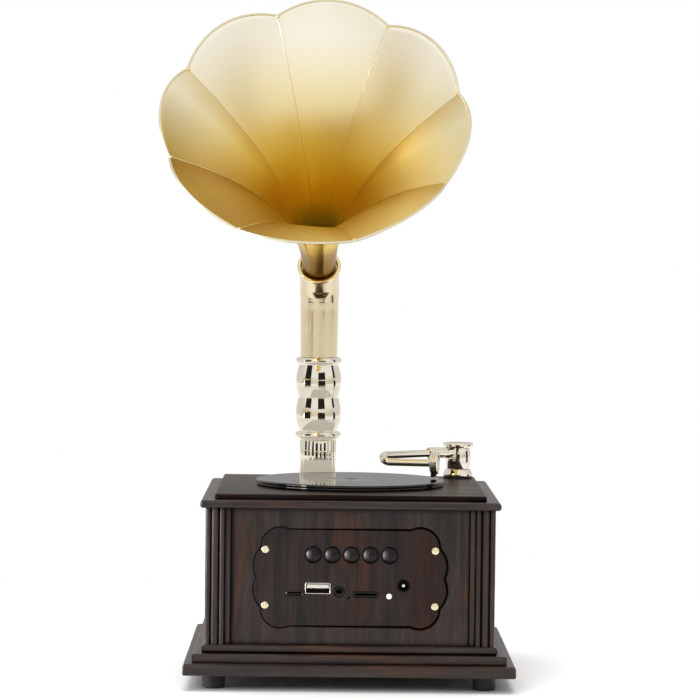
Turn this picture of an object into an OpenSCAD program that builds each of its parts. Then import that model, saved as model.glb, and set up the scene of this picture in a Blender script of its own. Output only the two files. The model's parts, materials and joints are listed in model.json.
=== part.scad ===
// Tabletop record player with a petal horn on a turned column.
// Lengths are in millimetres. +Z is up and the control side looks along -Y.
// The floor is at z = 0, and the origin is under the middle of the whole object's box.

/* [Plinth] */
// How far the bottom board stands out from the corner posts
base_out = 11; // [8:0.1:19]
// Thickness of the bottom board
base_t = 6.2; // [5:0.1:9]
// Bevel along the upper edge of the bottom board
base_bevel = 2; // [0.5:0.1:3]
// How far the stepped moulding stands out from the corner posts
step_out = 6.2; // [3:0.1:7.5]
// Height of the stepped moulding
step_t = 4.7; // [3:0.1:7]
// How far the rounded moulding stands out from the corner posts
bead_out = 1.5; // [0.5:0.1:2.5]
// Height of the rounded moulding
bead_t = 4.3; // [3:0.1:6]
// Gap at the mitred corners of the mouldings
mitre_gap = 0.12; // [0.05:0.01:0.3]

/* [Feet] */
// Diameter of a rubber foot
foot_d = 12.6; // [11:0.2:16]
// Height of a rubber foot
foot_h = 8; // [6:0.5:14]
// Distance of a foot's middle from the outer face of its corner post
foot_in = 5; // [4:0.5:7]
// Thread diameter of the long screw that holds a foot and the plinth
foot_screw_d = 3.5; // [2.5:0.1:4]
// Length of the long foot screw under its head
foot_screw_l = 32; // [26:1:40]

/* [Cabinet] */
// Width and depth over the corner posts
body_w = 152; // [140:0.5:170]
// Height of the cabinet walls
wall_h = 71.7; // [70:0.1:90]
// Thickness of the wall boards
wall_t = 5; // [4:0.1:6]
// Depth of the wall faces behind the corner posts' faces
wall_inset = 3; // [2:0.1:4]
// Width of a corner post
post_w = 13; // [12:0.1:15]
// Radius of the reed on a post's outer corner
corner_reed_r = 1.4; // [1:0.1:1.8]
// Radius of the broad reed beside it
broad_reed_r = 2.2; // [1.7:0.1:2.4]
// Radius of the narrow reed beside the cove
narrow_reed_r = 1.6; // [1.2:0.1:1.8]

/* [Top] */
// How far the rounded top board stands out from the corner posts
top_out = 2.8; // [1.5:0.1:7]
// Thickness of the rounded top board
top_t = 4.1; // [3:0.1:6]
// How far the raised deck's edge lies inside the corner posts' outer face
deck_in = 4.6; // [1:0.1:5.3]
// Thickness of the raised deck
deck_t = 2.9; // [2.4:0.1:5]

/* [Record] */
// Diameter of the record
record_d = 102.8; // [90:0.2:103.4]
// Thickness of the record
record_t = 1.65; // [1.2:0.05:2.5]
// Depth of the waves in the record's playing surface
wave_h = 0.16; // [0.05:0.01:0.3]
// Number of waves between the label and the rim
waves = 8; // [4:1:12]
// Diameter of the flat label land
label_d = 32; // [24:1:44]
// Thickness of the platter under the record
platter_t = 1.3; // [1:0.1:2.5]
// Diameter of the spindle
spindle_d = 4; // [3:0.1:6]
// Diameter of the hub flange that carries the platter
hub_d = 15; // [12:0.5:20]
// Thickness of the hub flange
hub_t = 2; // [1.2:0.1:2]

/* [Column] */
// Least distance of the column's axis to the left of the cabinet's middle
col_side = 18; // [12:0.5:25]
// Least gap between the column's foot and the record
record_gap = 0.8; // [0.5:0.1:3]
// Gap between the column's lower nut and the back board
col_gap = 0.5; // [0.3:0.1:4]
// Diameter of the reeded barrel over its reeds
barrel_d = 20.4; // [18:0.1:21]
// Height of the reeded barrel
barrel_h = 19.4; // [15:0.1:30]
// Number of reeds round the barrel
reeds = 18; // [12:1:24]
// Thickness of the foot ring under the barrel
ring_t = 2; // [1.5:0.1:3]
// Largest diameter of the turned piece's beads and bulges
turned_d = 25.7; // [23:0.1:27]
// Diameter of the turned piece at its lower neck
neck_d = 21.3; // [19:0.1:22.5]
// Diameter of the turned piece at its waist
waist_d = 22.5; // [20:0.1:22.8]
// Height of a bead on the turned piece
bead_h = 4.3; // [3:0.1:6]
// Height of the turned piece's lower bulge
low_bulge_h = 19.2; // [15:0.1:24]
// Height of the turned piece's upper bulge
high_bulge_h = 18.5; // [15:0.1:24]
// Outer diameter of the threaded tie tube inside the column
tie_d = 10; // [8:0.1:11]
// Wall of the tie tube
tie_wall = 1.2; // [0.8:0.1:2]
// Thickness of the tie tube's nuts
nut_t = 2.5; // [2:0.1:3]
// Wall of the nuts at their corners
nut_wall = 2.2; // [1.6:0.1:2.5]

/* [Elbow] */
// Outer diameter of the elbow tube
elbow_d = 21.6; // [20.6:0.1:23]
// Straight height of the elbow below its bend
elbow_h = 30.6; // [20:0.1:45]
// Radius of the elbow's bend at its centre line
bend_r = 18; // [15:0.5:26]
// Straight length of the elbow after its bend
collar_l = 9; // [8.5:0.1:16]
// Wall of the spigot on which the elbow turns
spigot_wall = 3; // [2.8:0.1:3.4]
// Height of the spigot on which the elbow turns
spigot_h = 11; // [6:0.5:16]
// Diameter of the bead ring round the elbow's mouth
mouth_d = 24.4; // [23.6:0.1:28]
// Length of the bead ring along the horn's axis
mouth_t = 2.5; // [2:0.1:4]

/* [Horn] */
// Tilt of the horn's axis above level
horn_tilt = 36.5; // [25:0.5:50]
// Turn of the petals about the horn's axis
horn_roll = -6; // [-22:0.5:22]
// Heading of the horn on its column, counted from straight ahead
horn_turn = -1.5; // [-20:0.5:20]
// Length of the horn from the elbow's mouth to the cusps
horn_l = 127; // [110:1:150]
// Length of the horn's neck inside the elbow
plug_l = 8; // [5:0.5:8]
// Outer diameter of the horn's neck
horn_neck_d = 18.6; // [17:0.1:18.8]
// Diameter of the circle through the cusps between the petals
cusp_d = 158.5; // [130:0.5:175]
// Number of petals
petals = 8; // [6:1:12]
// How far the middle of a petal reaches past its cusps
petal_reach = 6.4; // [2:0.1:10]
// Power of the flare
flare = 2.3; // [1.8:0.05:3]
// Share of the flare that opens evenly from the neck on
neck_open = 0.05; // [0:0.01:0.15]
// Flatness of a petal across its width
petal_flat = 0.78; // [0.3:0.02:1]
// Thickness of the horn's sheet
sheet_t = 0.8; // [0.6:0.05:1.5]
// Diameter of the wire rolled into the rim
wire_d = 1.7; // [1.4:0.1:2.4]
// Diameter of the small knot on the wire at each cusp
knot_d = 3; // [2:0.1:4]

/* [Tone arm] */
// Distance of the arm post's axis from the corner post's inner face, across
arm_in_x = 1.5; // [1:0.1:6]
// Distance of the arm post's axis from the corner post's inner face, front to back
arm_in_y = 3; // [2.9:0.1:6]
// Heading of the arm from its post, counted from +X
arm_turn = 218; // [214:0.5:226]
// Height of the arm's axis above the deck
arm_h = 14.7; // [14.3:0.1:16.5]
// Diameter of the post's foot flange
post_flange_d = 16.8; // [15:0.1:17.6]
// Largest diameter of the post's turning head
head_d = 14.6; // [13:0.1:16]
// Diameter of the cap flange on the head
cap_d = 17.4; // [15:0.1:19]
// Diameter of the pivot pin in the head
pivot_d = 6; // [4:0.1:7]
// Diameter of the arm tube at the post
tube_d = 7; // [6:0.1:7.4]
// Length of the arm tube from the post's axis
tube_l = 22; // [18:0.5:26]
// Diameter of the gooseneck
goose_d = 4.2; // [3:0.1:4.6]
// Distance from the post's axis to the start of the gooseneck's turn
goose_l = 52.5; // [48:0.5:55]
// Radius of the gooseneck's turn
goose_r = 4.5; // [4:0.1:6]
// Drop of the gooseneck through its turn
goose_drop = 3.3; // [2:0.1:4]
// Length of the gooseneck after its turn
goose_back = 23; // [20:0.5:24]
// Diameter of the sound box
box_d = 13.6; // [11:0.1:14]
// Thickness of the sound box
box_t = 4.4; // [3:0.1:5]

/* [Control plate] */
// Width of the control plate over its end lobes
plate_w = 102; // [98:0.2:110]
// Height of the control plate
plate_h = 53.2; // [50:0.2:58]
// Thickness of the control plate
plate_t = 1.8; // [1.2:0.1:2.5]
// Depth of the plate's face behind the front board's face
plate_sink = 0.6; // [0:0.1:1]
// Height of the plate's middle above the foot of the wall
plate_z = 35.2; // [33:0.1:40]
// Distance of a plate screw's middle from the plate's end
plate_screw_in = 6.4; // [6:0.1:9]
// Distance between the upper and lower plate screws
plate_screw_h = 29.4; // [24:0.2:32]
// Diameter of a plate screw's round head
plate_head_d = 4.2; // [3.4:0.1:5]
// Diameter of a button
button_d = 8.1; // [7:0.1:8.2]
// Distance between neighbouring buttons
button_pitch = 10; // [9.8:0.1:11]
// Number of buttons
buttons = 5; // [5:1:5]
// Height of the buttons above the plate's middle
button_z = 12.1; // [10:0.1:14]
// How far a button stands out of the plate
button_out = 2; // [1:0.1:3]
// Travel of a button
button_travel = 0.5; // [0.3:0.1:0.8]
// Height of the sockets' middle line below the plate's middle
socket_z = 7.8; // [7:0.1:9]
// Distance from the plate's face to the circuit board
board_back = 13.4; // [12:0.1:16]

/* [Inside] */
// Diameter of the loudspeaker's rim
speaker_d = 56; // [50:1:60]
// Height of the loudspeaker
speaker_h = 28; // [22:1:32]
// Place of the loudspeaker behind the cabinet's middle
speaker_y = -12; // [-16:1:-8]
// Diameter of the turntable motor's gearbox
gearbox_d = 34; // [30:1:40]
// Height of the turntable motor's gearbox
gearbox_h = 9; // [7:0.5:12]
// Diameter of the motor can
can_d = 20; // [16:0.5:24]
// Height of the motor can
can_h = 12; // [8:0.5:14]
// Width of the battery pack
battery_w = 56; // [40:1:70]
// Depth of the battery pack
battery_d = 30; // [20:1:34]
// Height of the battery pack
battery_h = 11; // [8:1:16]

/* [Fits] */
// Radial clearance of a turning shaft in its bore
run_fit = 0.05; // [0.02:0.01:0.09]
// Clearance between pieces that move past each other
move_gap = 0.3; // [0.25:0.01:0.4]
// Radial clearance of a screw in its hole
screw_gap = 0.1; // [0.05:0.01:0.2]
// Clearance round a piece let into another
inlay_gap = 0.15; // [0.1:0.01:0.3]
// Overlap of the elbow's bend with its straight ends
bend_lap = 0.4; // [0.3:0.05:0.6]
// Radial step where the elbow's straight ends cover its bend
bend_lip = 0.05; // [0.03:0.01:0.1]

/* [Hidden] */
$fn = 64;

// Colours of the materials
walnut = [0.20, 0.11, 0.09];
gold = [0.80, 0.64, 0.32];
nickel = [0.86, 0.83, 0.76];
steel = [0.62, 0.62, 0.64];
brass = [0.78, 0.60, 0.28];
black = [0.05, 0.05, 0.05];
green = [0.08, 0.26, 0.16];

// Levels from the floor up
z_base = foot_h;
z_step = z_base + base_t;
z_bead = z_step + step_t;
z_wall = z_bead + bead_t;
z_top = z_wall + wall_h;
z_deck = z_top + top_t;
z_play = z_deck + deck_t;
z_platter = z_play + move_gap;
z_record = z_platter + platter_t;
z_record_top = z_record + record_t;
z_barrel = z_play + ring_t;
z_turned = z_barrel + barrel_h;
turned_h = 2*bead_h + low_bulge_h + high_bulge_h;
z_elbow = z_turned + turned_h + move_gap;
z_bend = z_elbow + elbow_h;
z_arm = z_play + arm_h;
z_plate = z_wall + plate_z;

// Widths of the boards round the cabinet
base_w = body_w + 2*base_out;
step_w = body_w + 2*step_out;
bead_w = body_w + 2*bead_out;
top_w = body_w + 2*top_out;
deck_w = body_w - 2*deck_in;

// Places across the cabinet
wall_face = body_w/2 - wall_inset;
wall_back = wall_face - wall_t;
post_inner = body_w/2 - post_w;
foot_at = body_w/2 - foot_in;
nut_r = tie_d/2 + nut_wall;
spigot_r = tie_d/2 + spigot_wall;
ring_lip = 0.5;
col_y = wall_back - nut_r - col_gap;
// The column keeps clear of the record, which pushes it to the side where the cabinet is small
col_reach = record_d/2 + barrel_d/2 + ring_lip + record_gap;
col_x = -max(col_side, sqrt(max(0, col_reach*col_reach - col_y*col_y)));
arm_x = post_inner - arm_in_x;
arm_y = post_inner - arm_in_y;
plate_face = wall_face - plate_sink;
board_face = plate_face - board_back;

// The horn's mouth and axis
bend_turn = 90 - horn_tilt;
mouth_out = bend_r*(1 - cos(bend_turn)) + collar_l*cos(horn_tilt);
mouth_z = z_bend + bend_r*sin(bend_turn) + collar_l*sin(horn_tilt);
neck_r = horn_neck_d/2;
cusp_r = cusp_d/2;

// The horn's sheet: rings along its length and steps across each petal
petal_steps = 6;
horn_rings = 22;
round_steps = petals*petal_steps;
half_petal = 180/petals;
function smooth(t) = let (c = min(1, max(0, t))) c*c*(3 - 2*c);
// Place across a petal, from -1 at one cusp to 1 at the next
function across(k) = 2*(k % petal_steps)/petal_steps - 1;
function petal_lift(k) = petal_reach*(1 - pow(across(k), 2));
// Share of the full circle's radius left by the flat petal
function petal_share(k, u) =
    let (flat = cos(half_petal)/cos(across(k)*half_petal), amount = petal_flat*smooth((u - 0.2)/0.4))
    1 - amount*(1 - flat);
function flare_r(u) = neck_r - sheet_t + (cusp_r - neck_r)*((1 - neck_open)*pow(u, flare) + neck_open*u);
function horn_angle(k) = 90 - half_petal + horn_roll + k*360/round_steps;
// A point of the sheet's inner face, grown outwards by the given thickness
function horn_point(k, u, grow) =
    let (z = u < 0 ? u*plug_l : u*(horn_l + petal_lift(k)*smooth((u - 0.3)/0.7)),
         r = flare_r(max(z, 0)/horn_l)*petal_share(k, u) + grow)
    [r*cos(horn_angle(k)), r*sin(horn_angle(k)), z];
function rim_point(k) = horn_point(k, 1, sheet_t/2);

// A point of the horn's own frame turned into the cabinet's frame
function from_horn(p) =
    let (out = mouth_out + p[2]*cos(horn_tilt) - p[1]*sin(horn_tilt))
    [
        col_x + p[0]*cos(horn_turn) + out*sin(horn_turn),
        col_y + p[0]*sin(horn_turn) - out*cos(horn_turn),
        mouth_z + p[1]*cos(horn_tilt) + p[2]*sin(horn_tilt)
    ];
rim_points = [for (k = [0:round_steps - 1]) from_horn(rim_point(k))];
rim_right = max([for (p = rim_points) p[0]]) + wire_d/2;
rim_left = min([for (p = rim_points) p[0]]) - wire_d/2;
rim_front = min([for (p = rim_points) p[1]]) - wire_d/2;

// The cabinet's middle as seen from the part's origin
base_x = -(max(rim_right, base_w/2) + min(rim_left, -base_w/2))/2;
base_y = -(base_w/2 + min(rim_front, -base_w/2))/2;

// Control side: places from the cabinet's middle
button_x0 = 0.6 - (buttons - 1)/2*button_pitch;
z_buttons = z_plate + button_z;
z_sockets = z_plate - socket_z;
charge_x = -29.2;
charge_z = z_sockets - 0.8;
usb_x = -16.9;
usb_z = z_sockets + 2.2;
audio_x = -5.7;
audio_z = z_sockets + 0.5;
mic_x = -0.5;
mic_z = z_sockets - 2.6;
card_x = 8.4;
card_z = z_sockets - 0.8;
lamp_x = 20.6;
lamp_z = z_sockets - 1.7;
power_x = 28.1;
power_z = z_sockets + 4;
usb_size = [13.2, 5.8];
charge_size = [9, 3.3];
card_size = [12.6, 2.8];
audio_r = 2.8;
audio_bore_r = 1.8;
power_r = 3.1;
power_bore_r = 2.75;
lamp_r = 1.5;
mic_r = 0.55;
socket_proud = 0.2;
board_w = 88;
board_h = 44;
board_t = 1.6;

module at_base() { translate([base_x, base_y, 0]) children(); }
module at_column(z) { at_base() translate([col_x, col_y, z]) children(); }
module at_arm(z) { at_base() translate([arm_x, arm_y, z]) rotate([0, 0, arm_turn]) children(); }
module at_horn(z) { at_column(z) rotate([0, 0, horn_turn]) children(); }
module at_mouth() { at_horn(mouth_z) translate([0, -mouth_out, 0]) rotate([bend_turn, 0, 0]) children(); }
// Lays a shape drawn flat onto the control side: x stays, y becomes height, z grows towards the room
module on_front(y) { translate([0, -y, 0]) rotate([90, 0, 0]) children(); }
module four_corners(r) { for (sx = [-1, 1], sy = [-1, 1]) translate([sx*r, sy*r, 0]) children(); }

// A board with its four edges rounded to half its thickness
module rounded_board(w, t) {
    module slab() {
        rotate([90, 0, 0]) translate([0, 0, -w/2]) linear_extrude(w) union() {
            translate([-w/2 + t/2, 0]) square([w - t, t]);
            for (s = [-1, 1]) translate([s*(w - t)/2, t/2]) circle(t/2);
        }
    }
    intersection() { slab(); rotate([0, 0, 90]) slab(); }
}

// Four mitred rails; the children are the rail's section, drawn with its outer edge at x = w/2
module mitred_frame(w, t) {
    for (a = [0:90:270]) rotate([0, 0, a]) intersection() {
        rotate([90, 0, 0]) translate([0, 0, -w/2]) linear_extrude(w) children();
        translate([mitre_gap*sqrt(2)/2, 0, 0]) linear_extrude(t) polygon([[0, 0], [w, -w], [w, w]]);
    }
}

module screw_cross(d, depth) {
    for (a = [0, 90]) rotate([0, 0, a]) translate([-d/2, -d/10, -depth]) cube([d, d/5, depth + 1]);
}

// Plinth and feet
foot_recess = 3.4;
foot_head_r = 3;
foot_head_t = 1.8;
slot_w = 4;
slot_pitch = 8;
module foot_drills(t) {
    four_corners(foot_at) translate([0, 0, -1]) cylinder(r = foot_screw_d/2 + screw_gap, h = t + 2);
}

module base_board() {
    color(walnut) at_base() translate([0, 0, z_base]) difference() {
        translate([-base_w/2, -base_w/2, 0]) cube([base_w, base_w, base_t]);
        for (a = [0:90:270]) rotate([0, 0, a]) translate([base_w/2, 0, base_t]) rotate([0, 45, 0])
            cube([base_bevel*sqrt(2), base_w + 2, base_bevel*sqrt(2)], center = true);
        foot_drills(base_t);
        translate([0, speaker_y, base_t - speaker_screw_l + speaker_rim_t - screw_gap]) speaker_hole_places()
            cylinder(r = speaker_screw_r + screw_gap, h = speaker_screw_l);
        for (i = [-2:2]) {
            half = sqrt(pow(speaker_r - speaker_ring_w - 1, 2) - pow(i*slot_pitch, 2));
            translate([i*slot_pitch - slot_w/2, speaker_y - half, -1]) cube([slot_w, 2*half, base_t + 2]);
        }
    }
}

module plinth_step() {
    color(walnut) at_base() translate([0, 0, z_step]) difference() {
        mitred_frame(step_w, step_t) translate([wall_back, 0]) square([step_w/2 - wall_back, step_t]);
        foot_drills(step_t);
    }
}

module plinth_bead() {
    color(walnut) at_base() translate([0, 0, z_bead]) difference() {
        mitred_frame(bead_w, bead_t) union() {
            translate([wall_back, 0]) square([bead_w/2 - bead_t/2 - wall_back, bead_t]);
            translate([bead_w/2 - bead_t/2, bead_t/2]) circle(bead_t/2);
        }
        foot_drills(bead_t);
    }
}

module foot(sx, sy) {
    color(black) at_base() translate([sx*foot_at, sy*foot_at, 0]) difference() {
        cylinder(r1 = foot_d/2 - 0.5, r2 = foot_d/2, h = foot_h);
        translate([0, 0, -1]) cylinder(r = foot_head_r + 0.4, h = foot_recess + 1);
        cylinder(r = foot_screw_d/2 + screw_gap, h = foot_h + 1);
    }
}
module foot_front_left() { foot(-1, -1); }
module foot_front_right() { foot(1, -1); }
module foot_back_left() { foot(-1, 1); }
module foot_back_right() { foot(1, 1); }

module foot_screws() {
    color(steel) at_base() four_corners(foot_at) translate([0, 0, foot_recess]) difference() {
        union() {
            cylinder(r = foot_screw_d/2, h = foot_screw_l);
            translate([0, 0, -foot_head_t])
                cylinder(r1 = foot_head_r - 0.5, r2 = foot_head_r, h = foot_head_t);
        }
        translate([0, 0, -foot_head_t]) mirror([0, 0, 1]) screw_cross(3, 1);
    }
}

// Cabinet walls
button_slot_h = button_d + 3.4;
button_slot_w = 70;
socket_slot_h = 18;
socket_slot_w = 74;
screw_shank_r = 1;
screw_shank_l = 8;

// The plate's outline: a middle band between full round shoulders, and two lobes at each end
lobe_r = 13.2;
lobe_rise = 6.2;
shoulder_r = 10.4;
shoulder_in = 14.4;
middle_drop = 1.1;
module plate_shape(grow) {
    half_w = plate_w/2;
    half_h = plate_h/2;
    shoulder_x = half_w - shoulder_in;
    shoulder_y = half_h - shoulder_r;
    union() {
        square([2*shoulder_x, 2*(half_h - middle_drop + grow)], center = true);
        square([2*(shoulder_x + shoulder_r + grow), 2*shoulder_y], center = true);
        for (sx = [-1, 1], sy = [-1, 1]) {
            translate([sx*shoulder_x, sy*shoulder_y]) circle(shoulder_r + grow);
            translate([sx*(half_w - lobe_r), sy*lobe_rise]) circle(lobe_r + grow);
        }
    }
}

module wall_board() { translate([-post_inner, wall_back, 0]) cube([2*post_inner, wall_t, wall_h]); }

module front_board() {
    color(walnut) at_base() difference() {
        translate([0, 0, z_wall]) rotate([0, 0, 180]) wall_board();
        translate([0, 0, z_plate]) on_front(plate_face - plate_t) linear_extrude(wall_t)
            plate_shape(inlay_gap);
        translate([-button_slot_w/2, -wall_face - 1, z_buttons - button_slot_h/2])
            cube([button_slot_w, wall_t + 2, button_slot_h]);
        translate([-socket_slot_w/2, -wall_face - 1, z_sockets - socket_slot_h/2])
            cube([socket_slot_w, wall_t + 2, socket_slot_h]);
        plate_screw_places() translate([0, 0, -wall_t - 2])
            cylinder(r = screw_shank_r + screw_gap, h = wall_t + 4);
    }
}
module back_board() { color(walnut) at_base() translate([0, 0, z_wall]) wall_board(); }
module left_board() { color(walnut) at_base() translate([0, 0, z_wall]) rotate([0, 0, 90]) wall_board(); }
module right_board() { color(walnut) at_base() translate([0, 0, z_wall]) rotate([0, 0, -90]) wall_board(); }

// A corner post in section: a square with reeds on its two outer faces and a cove beside the wall
module post_section() {
    core = post_w - corner_reed_r;
    broad = core - corner_reed_r - broad_reed_r;
    narrow = broad - broad_reed_r - narrow_reed_r;
    cove_r = narrow - narrow_reed_r;
    difference() {
        union() {
            square([core, core]);
            translate([core, core]) circle(corner_reed_r);
            for (flip = [0, 1]) mirror([flip, -flip]) {
                translate([broad, post_w - broad_reed_r]) circle(broad_reed_r);
                translate([narrow, post_w - narrow_reed_r - 0.2]) circle(narrow_reed_r);
            }
        }
        for (flip = [0, 1]) mirror([flip, -flip]) translate([0, post_w]) circle(cove_r);
    }
}
module post(sx, sy) {
    color(walnut) at_base() translate([0, 0, z_wall])
        mirror([sx < 0 ? 1 : 0, 0, 0]) mirror([0, sy < 0 ? 1 : 0, 0])
        translate([post_inner, post_inner, 0]) difference() {
            linear_extrude(wall_h) post_section();
            translate([post_w - foot_in, post_w - foot_in, -1]) cylinder(r = foot_screw_d/2 + screw_gap,
                h = foot_recess + foot_screw_l - z_wall + 2);
        }
}
module post_front_left() { post(-1, -1); }
module post_front_right() { post(1, -1); }
module post_back_left() { post(-1, 1); }
module post_back_right() { post(1, 1); }

// Top
bush_r = spindle_d/2 + 2.5;
stud_r = 1.5;

module top_board() {
    color(walnut) at_base() translate([0, 0, z_top]) difference() {
        rounded_board(top_w, top_t);
        translate([0, 0, -1]) cylinder(r = bush_r, h = top_t + 2);
        translate([col_x, col_y, -1]) cylinder(r = tie_d/2 + screw_gap, h = top_t + 2);
        translate([arm_x, arm_y, -1]) cylinder(r = stud_r + screw_gap, h = top_t + 2);
        motor_ears() translate([0, 0, -1])
            cylinder(r = motor_screw_r + screw_gap, h = motor_screw_bite + 1.2);
    }
}
module deck_board() {
    color(walnut) at_base() translate([0, 0, z_deck]) difference() {
        translate([-deck_w/2, -deck_w/2, 0]) cube([deck_w, deck_w, deck_t]);
        for (a = [0:90:270]) rotate([0, 0, a]) translate([deck_w/2, 0, deck_t]) rotate([0, 45, 0])
            cube([0.8*sqrt(2), deck_w + 2, 0.8*sqrt(2)], center = true);
        translate([0, 0, deck_t - hub_t - move_gap]) cylinder(r = hub_d/2 + move_gap, h = deck_t);
        translate([0, 0, -1]) cylinder(r = bush_r, h = deck_t + 2);
        translate([col_x, col_y, -1]) cylinder(r = tie_d/2 + screw_gap, h = deck_t + 2);
        translate([arm_x, arm_y, -1]) cylinder(r = stud_r + screw_gap, h = deck_t + 2);
    }
}

// Control plate and what shows through it
module plate_screw_places() {
    for (sx = [-1, 1], sz = [-1, 1])
        translate([sx*(plate_w/2 - plate_screw_in), 0, z_plate + sz*plate_screw_h/2])
            on_front(plate_face) children();
}
module rounded_slot(size, r) {
    union() {
        square([size[0] - 2*r, size[1]], center = true);
        square([size[0], size[1] - 2*r], center = true);
        for (sx = [-1, 1], sy = [-1, 1]) translate([sx*(size[0]/2 - r), sy*(size[1]/2 - r)]) circle(r);
    }
}

module control_plate() {
    color(walnut) at_base() difference() {
        translate([0, 0, z_plate]) on_front(plate_face - plate_t) linear_extrude(plate_t) plate_shape(0);
        for (i = [0:buttons - 1]) translate([button_x0 + i*button_pitch, 0, z_buttons])
            on_front(plate_face - plate_t - 1) cylinder(r = button_d/2 + move_gap, h = plate_t + 2);
        plate_screw_places() translate([0, 0, -plate_t - 1])
            cylinder(r = screw_shank_r + screw_gap, h = plate_t + 2);
        translate([usb_x, 0, usb_z]) on_front(plate_face - plate_t - 1)
            linear_extrude(plate_t + 2) square(usb_size + [2, 2]*inlay_gap, center = true);
        translate([charge_x, 0, charge_z]) on_front(plate_face - plate_t - 1)
            linear_extrude(plate_t + 2) rounded_slot(charge_size + [2, 2]*inlay_gap, 1.4);
        translate([card_x, 0, card_z]) on_front(plate_face - plate_t - 1)
            linear_extrude(plate_t + 2) square(card_size + [2, 2]*inlay_gap, center = true);
        translate([audio_x, 0, audio_z]) on_front(plate_face - plate_t - 1)
            cylinder(r = audio_r + inlay_gap, h = plate_t + 2);
        translate([power_x, 0, power_z]) on_front(plate_face - plate_t - 1)
            cylinder(r = power_r + inlay_gap, h = plate_t + 2);
        translate([lamp_x, 0, lamp_z]) on_front(plate_face - plate_t - 1)
            cylinder(r = lamp_r + inlay_gap, h = plate_t + 2);
        translate([mic_x, 0, mic_z]) on_front(plate_face - plate_t - 1) cylinder(r = mic_r, h = plate_t + 2);
    }
}

module plate_screws() {
    color(brass) at_base() plate_screw_places() difference() {
        union() {
            translate([0, 0, -screw_shank_l]) cylinder(r = screw_shank_r, h = screw_shank_l);
            rotate_extrude() intersection() {
                translate([0, plate_head_d/4 - plate_head_d/2]) circle(plate_head_d*0.5625);
                square([plate_head_d/2, plate_head_d]);
            }
        }
        translate([0, 0, plate_head_d/3.4]) screw_cross(plate_head_d*0.6, 0.6);
    }
}

// Buttons and the circuit board behind them
button_flange_t = 0.8;
button_flange_out = 0.7;
cap_edge_r = 0.8;
cap_dome = 0.3;
stem_r = 1.5;
switch_h = 4;
switch_w = 6;
board_hole_in = 3;
board_post_r = 2.2;
board_pin_r = 1.1;
board_pin_out = 0.8;

module button(i) {
    cap_r = button_d/2;
    back = plate_face - plate_t - move_gap - button_flange_t;
    stem_l = back - board_face - switch_h - button_travel - move_gap;
    rise = button_flange_t + move_gap + plate_t + button_out;
    edge_r = cap_r - cap_edge_r;
    edge_z = rise - cap_dome - cap_edge_r;
    color(black) at_base() translate([button_x0 + i*button_pitch, 0, z_buttons]) on_front(back) union() {
        cylinder(r = cap_r + button_flange_out, h = button_flange_t);
        translate([0, 0, -stem_l]) cylinder(r = stem_r, h = stem_l + 0.1);
        rotate_extrude() polygon(concat(
            [[0, 0], [cap_r, 0], [cap_r, edge_z]],
            [for (a = [15:15:75]) [edge_r + cap_edge_r*cos(a), edge_z + cap_edge_r*sin(a)]],
            [for (i = [0:4]) [edge_r*cos(90*i/4), rise - cap_dome + cap_dome*sin(90*i/4)]]));
    }
}
module button_1() { button(0); }
module button_2() { button(1); }
module button_3() { button(2); }
module button_4() { button(3); }
module button_5() { button(4); }

module circuit_board() {
    color(green) at_base() difference() {
        translate([-board_w/2, -board_face, z_plate - board_h/2]) cube([board_w, board_t, board_h]);
        board_corners() translate([0, 0, -board_t - 1])
            cylinder(r = board_pin_r + screw_gap, h = board_t + 2);
    }
}
module board_corners() {
    for (sx = [-1, 1], sz = [-1, 1])
        translate([sx*(board_w/2 - board_hole_in), 0, z_plate + sz*(board_h/2 - board_hole_in)])
            on_front(board_face) children();
}
// Moulded posts on the front board, each with a pin through the circuit board
module board_posts() {
    color("white") at_base() board_corners() union() {
        cylinder(r = board_post_r, h = wall_back - board_face);
        translate([0, 0, -board_t - board_pin_out]) cylinder(r = board_pin_r, h = board_t + 1);
    }
}
module tact_switches() {
    color(black) at_base() for (i = [0:buttons - 1])
        translate([button_x0 + i*button_pitch, 0, z_buttons]) on_front(board_face)
            linear_extrude(switch_h) square([switch_w, switch_w], center = true);
}

// Sockets, each standing on the circuit board and ending at the plate's face
socket_l = board_back + socket_proud;
shell_t = 0.35;
tongue_root = 0.5;
tongue_in = 1;
charge_depth = 7;
charge_r = 1.4;
charge_inner_r = 1.1;
charge_tongue = [6.6, 0.7];
usb_depth = 10;
usb_tongue = [11.6, 2];
usb_tongue_low = -0.2;
card_opening = [11.2, 1];
card_back_t = 2;
audio_back_t = 1;
power_block_w = 8.4;
power_depth = 9;
power_pin_r = 1;
power_pin_in = 0.8;
lamp_dome = 0.8;

module charging_socket() {
    color(steel) at_base() translate([charge_x, 0, charge_z]) on_front(board_face) union() {
        difference() {
            linear_extrude(socket_l) rounded_slot(charge_size, charge_r);
            translate([0, 0, socket_l - charge_depth]) linear_extrude(charge_depth + 1)
                rounded_slot(charge_size - 2*[shell_t, shell_t], charge_inner_r);
        }
        translate([0, 0, socket_l - charge_depth - tongue_root])
            linear_extrude(charge_depth + tongue_root - tongue_in) square(charge_tongue, center = true);
    }
}
module usb_socket() {
    color(steel) at_base() translate([usb_x, 0, usb_z]) on_front(board_face) union() {
        difference() {
            linear_extrude(socket_l) square(usb_size, center = true);
            translate([0, 0, socket_l - usb_depth]) linear_extrude(usb_depth + 1)
                square(usb_size - 2*[shell_t, shell_t], center = true);
        }
        translate([-usb_tongue[0]/2, usb_tongue_low, socket_l - usb_depth - tongue_root])
            cube([usb_tongue[0], usb_tongue[1], usb_depth + tongue_root - tongue_in]);
    }
}
module audio_socket() {
    color(black) at_base() translate([audio_x, 0, audio_z]) on_front(board_face) difference() {
        cylinder(r = audio_r, h = socket_l);
        translate([0, 0, audio_back_t]) cylinder(r = audio_bore_r, h = socket_l);
    }
}
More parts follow.
